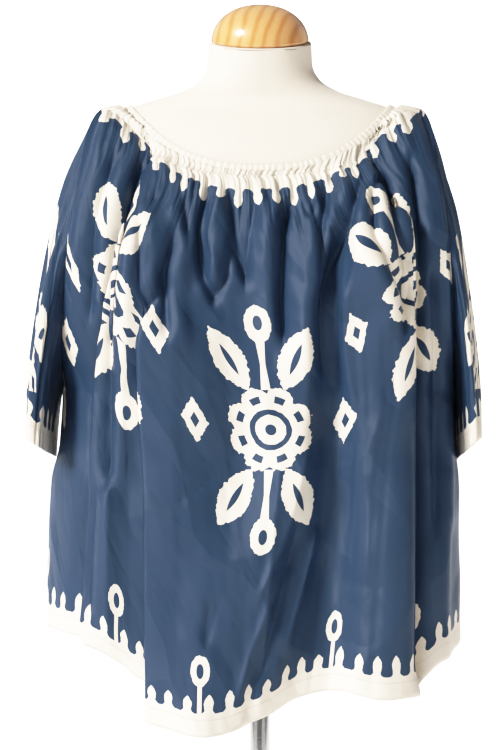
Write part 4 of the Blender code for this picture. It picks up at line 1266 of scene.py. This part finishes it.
def cream_viscose():
    """The casing: the border's cream cloth, with the stitch line below its elastic."""
    made, shader, start = start_finish("cream_viscose", Sheen_Weight=0.15, Sheen_Roughness=0.35,
                                       Specular_IOR_Level=0.35)
    u, v = surface_map(start, "cut")
    slub = mottle(joined(u * 8.0, v * 30.0), 30.0, 2.0)
    cloud = mottle(joined(u, v), 12.0, 2.0)
    stitch = stitches(v - 0.0031, u)
    colour = shade(CREAM, 0.95 + 0.05 * cloud + 0.03 * slub - 0.06 * stitch)
    height = weave_height(u, v) * 0.00004 + slub * 0.00008 - stitch * 0.0001
    cover(shader, colour, 0.55 + 0.10 * slub, height)
    return made


def knitted_cover():
    """The form's stretched cover: cream jersey with faint upright wales."""
    made, shader, start = start_finish("knitted_cover", Sheen_Weight=0.12, Sheen_Roughness=0.5,
                                       Specular_IOR_Level=0.25)
    u, v = surface_map(start, "cut")
    wales = (u * (2.0 * math.pi / 0.0022)).sine()
    courses = (v * (2.0 * math.pi / 0.0016)).sine()
    streak = mottle(joined(u * 120.0, v * 2.0), 3.0, 3.0)
    cloud = mottle(joined(u, v), 7.0, 2.0)
    colour = shade(JERSEY, 0.955 + 0.05 * streak + 0.03 * cloud + 0.008 * wales)
    height = wales * 0.00006 + wales * courses * 0.00002 + streak * 0.00012
    cover(shader, colour, 0.78 + 0.08 * streak, height)
    return made


def varnished_pine():
    """The cap: honey pine under clear varnish, its grain near upright and on the slant."""
    made, shader, start = start_finish("varnished_pine", Coat_Weight=0.75, Coat_Roughness=0.08,
                                       Specular_IOR_Level=0.4)
    turned = (0.0, math.radians(-14.0), 0.35)
    x, y, z = parted(start.node("ShaderNodeMapping", {"vector_type": "POINT"},
                                {"Vector": object_place(start), "Rotation": turned}))
    drift = mottle(joined(x, y, z), 14.0, 2.0) - 0.5
    rings = ((x + y * 0.15 + drift * 0.020) * (2.0 * math.pi / 0.0148)).sine() * 0.5 + 0.5
    fine = mottle(joined(x * 14.0, y * 14.0, z * 0.9), 26.0, 3.0)
    broad = mottle(joined(x * 3.0, y * 3.0, z * 0.5), 8.0, 2.0)
    late = (rings ** 2.2 * 0.62 + fine * 0.30 + broad * 0.35 - 0.18).clipped()
    light = blend_colours(broad, EARLY_WOOD, PALE_WOOD)
    cover(shader, blend_colours(late, light, LATE_WOOD), 0.30 + 0.10 * fine,
          fine * 0.00008 + rings * 0.00003)
    return made


def polished_chrome(name, scratch_scale):
    """Bright plated steel, with hairlines and a few dull smears from handling."""
    made, shader, start = start_finish(name, Metallic=1.0)
    where = object_place(start)
    smear = mottle(where, 9.0, 3.0)
    hair = mottle(where, scratch_scale, 2.0)
    cover(shader, shade(CHROME, 0.94 + 0.10 * smear), 0.07 + 0.08 * smear + 0.05 * hair,
          hair * 0.00001)
    return made


def studio_floor():
    """A pale floor that glows a little, as under bright lamps."""
    made, shader, start = start_finish("pale_floor", Emission_Color=(1.0, 1.0, 1.0, 1.0),
                                       Emission_Strength=0.60)
    where = object_place(start)
    feed(shader, "Base Color", shade((0.85, 0.85, 0.85, 1.0), 0.99 + 0.02 * mottle(where, 3.0)))
    feed(shader, "Roughness", 0.85 + 0.1 * mottle(where, 6.0))
    return made


FLOOR_RADIUS = 14.0
FLOOR_Z = -0.0005


def add_floor():
    form = bmesh.new()
    bmesh.ops.create_circle(form, cap_ends=True, segments=96, radius=FLOOR_RADIUS)
    bmesh.ops.translate(form, verts=form.verts[:], vec=(0.0, 0.0, FLOOR_Z))
    mesh = smooth_mesh("studio_floor", form)
    mesh.materials.append(studio_floor())
    item = bpy.data.objects.new("studio_floor", mesh)
    bpy.context.scene.collection.objects.link(item)


def add_sun(name, toward, power, softness, mirrored=True):
    """A soft distant light that shines along a direction."""
    data = bpy.data.lights.new(name, "SUN")
    data.energy = power
    data.angle = math.radians(softness)
    item = bpy.data.objects.new(name, data)
    item.rotation_euler = Vector(toward).to_track_quat("-Z", "Y").to_euler()
    item.visible_glossy = mirrored
    bpy.context.scene.collection.objects.link(item)


TONE_WHITE = 1.6          # scene brightness that prints as white
TONES = [(0.03, 0.019), (0.08, 0.068), (0.20, 0.200), (0.50, 0.590), (0.80, 0.840), (1.10, 0.950)]


def print_tones(view):
    """The photograph's print: deep shadows and softly held whites."""
    view.view_transform = "Standard"
    view.use_curve_mapping = True
    curves = view.curve_mapping
    curves.white_level = (TONE_WHITE, TONE_WHITE, TONE_WHITE)
    for light, shown in TONES:
        curves.curves[3].points.new(light / TONE_WHITE, shown)
    curves.update()


def light_studio():
    """A white room: bright all round, with darker upright gaps that chrome can mirror."""
    world = bpy.data.worlds.new("white_studio")
    bpy.context.scene.world = world
    world.use_nodes = True
    tree = world.node_tree
    tree.nodes.clear()
    start = Field(tree)
    x, y, z = parted(start.node("ShaderNodeTexCoord", {}, {}, output=0))
    # level lights the scene, and mirrored is what shiny surfaces show of the room.
    turn = x.maths("ARCTAN2", y, x)
    panes = ((turn * 9.0 + 0.6).sine() > 0.55) * (abs(z) < 0.45)
    level = 0.075 + 0.12 * z.clipped() + 0.50 * panes
    windows = ((turn * 4.0 - 1.2).sine() > 0.25) * (abs(z) < 0.5)
    mirrored = 0.16 + 0.45 * z.clipped() + 0.55 * windows
    seen = tree.nodes.new("ShaderNodeLightPath")
    glossy = Field(tree, seen.outputs["Is Glossy Ray"])
    level = level + (mirrored - level) * glossy
    room = tree.nodes.new("ShaderNodeBackground")
    tree.links.new(level.socket, room.inputs["Strength"])
    backdrop = tree.nodes.new("ShaderNodeBackground")
    backdrop.inputs["Strength"].default_value = 2.0
    backdrop.inputs["Color"].default_value = (1.0, 1.0, 1.0, 1.0)
    mix = tree.nodes.new("ShaderNodeMixShader")
    tree.links.new(seen.outputs["Is Camera Ray"], mix.inputs[0])
    tree.links.new(room.outputs[0], mix.inputs[1])
    tree.links.new(backdrop.outputs[0], mix.inputs[2])
    out = tree.nodes.new("ShaderNodeOutputWorld")
    tree.links.new(mix.outputs[0], out.inputs["Surface"])
    add_sun("key", toward=(0.670, 0.500, -0.550), power=4.3, softness=16.0)
    add_sun("back_fill", toward=(0.300, -0.740, -0.600), power=1.1, softness=40.0, mirrored=False)
    print_tones(bpy.context.scene.view_settings)


CAMERA_DISTANCE = 3.0
CAMERA_LIFT = math.radians(2.0)


def add_camera():
    """The photograph's view: level with the blouse, from about three metres."""
    data = bpy.data.cameras.new("camera")
    data.lens = 120.0
    data.sensor_width = 36.0
    item = bpy.data.objects.new("camera", data)
    aim = Vector((-0.012, 0.0, 1.0748))
    back = Vector((0.0, -math.cos(CAMERA_LIFT), math.sin(CAMERA_LIFT)))
    item.location = aim + CAMERA_DISTANCE * back
    item.rotation_euler = (aim - item.location).to_track_quat("-Z", "Y").to_euler()
    bpy.context.scene.collection.objects.link(item)
    bpy.context.scene.camera = item


add_camera()
light_studio()
add_floor()

form_mesh = dress_form_mesh(columns=192, rows=180)
dress_form = add_piece("dress_form", form_mesh, knitted_cover())
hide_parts("form")
form_bmesh = bmesh.new()
form_bmesh.from_mesh(form_mesh)
form_tree = BVHTree.FromBMesh(form_bmesh)
form_bmesh.free()

for name, node, slot, mesh, finish in (
        ("turned_cap", "neck_cap", "varnished_pine", neck_cap_mesh(), varnished_pine()),
        ("stand_pole", "pole", "polished_metal", pole_mesh(),
         polished_chrome("polished_pole", 300.0)),
        ("stand_base", "base", "polished_metal", base_mesh(),
         polished_chrome("polished_base", 220.0))):
    item = add_piece(name, mesh, finish)
    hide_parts(node)

blue_cloth = printed_viscose()
for panel in PANELS:
    points, maps = body_panel(panel, form_tree)
    mesh = lay_grid(panel.name, points, maps, flipped=panel.facing > 0)
    item = give_wall(add_piece(panel.name, mesh, blue_cloth))
    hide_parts(panel.node)

for cuff in CUFFS:
    node = "sleeve_left" if cuff.side < 0 else "sleeve_right"
    points, maps = sleeve_panel(cuff)
    mesh = lay_grid(node + "_cloth", points, maps, closed=True, flipped=cuff.side > 0)
    sleeve = give_wall(add_piece(node + "_cloth", mesh, blue_cloth))
    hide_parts(node)

points, maps = casing_band(form_tree)
mesh = lay_grid("elastic_casing", points, maps, closed=True)
casing = add_piece("elastic_casing", mesh, cream_viscose())
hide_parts("neck_casing")
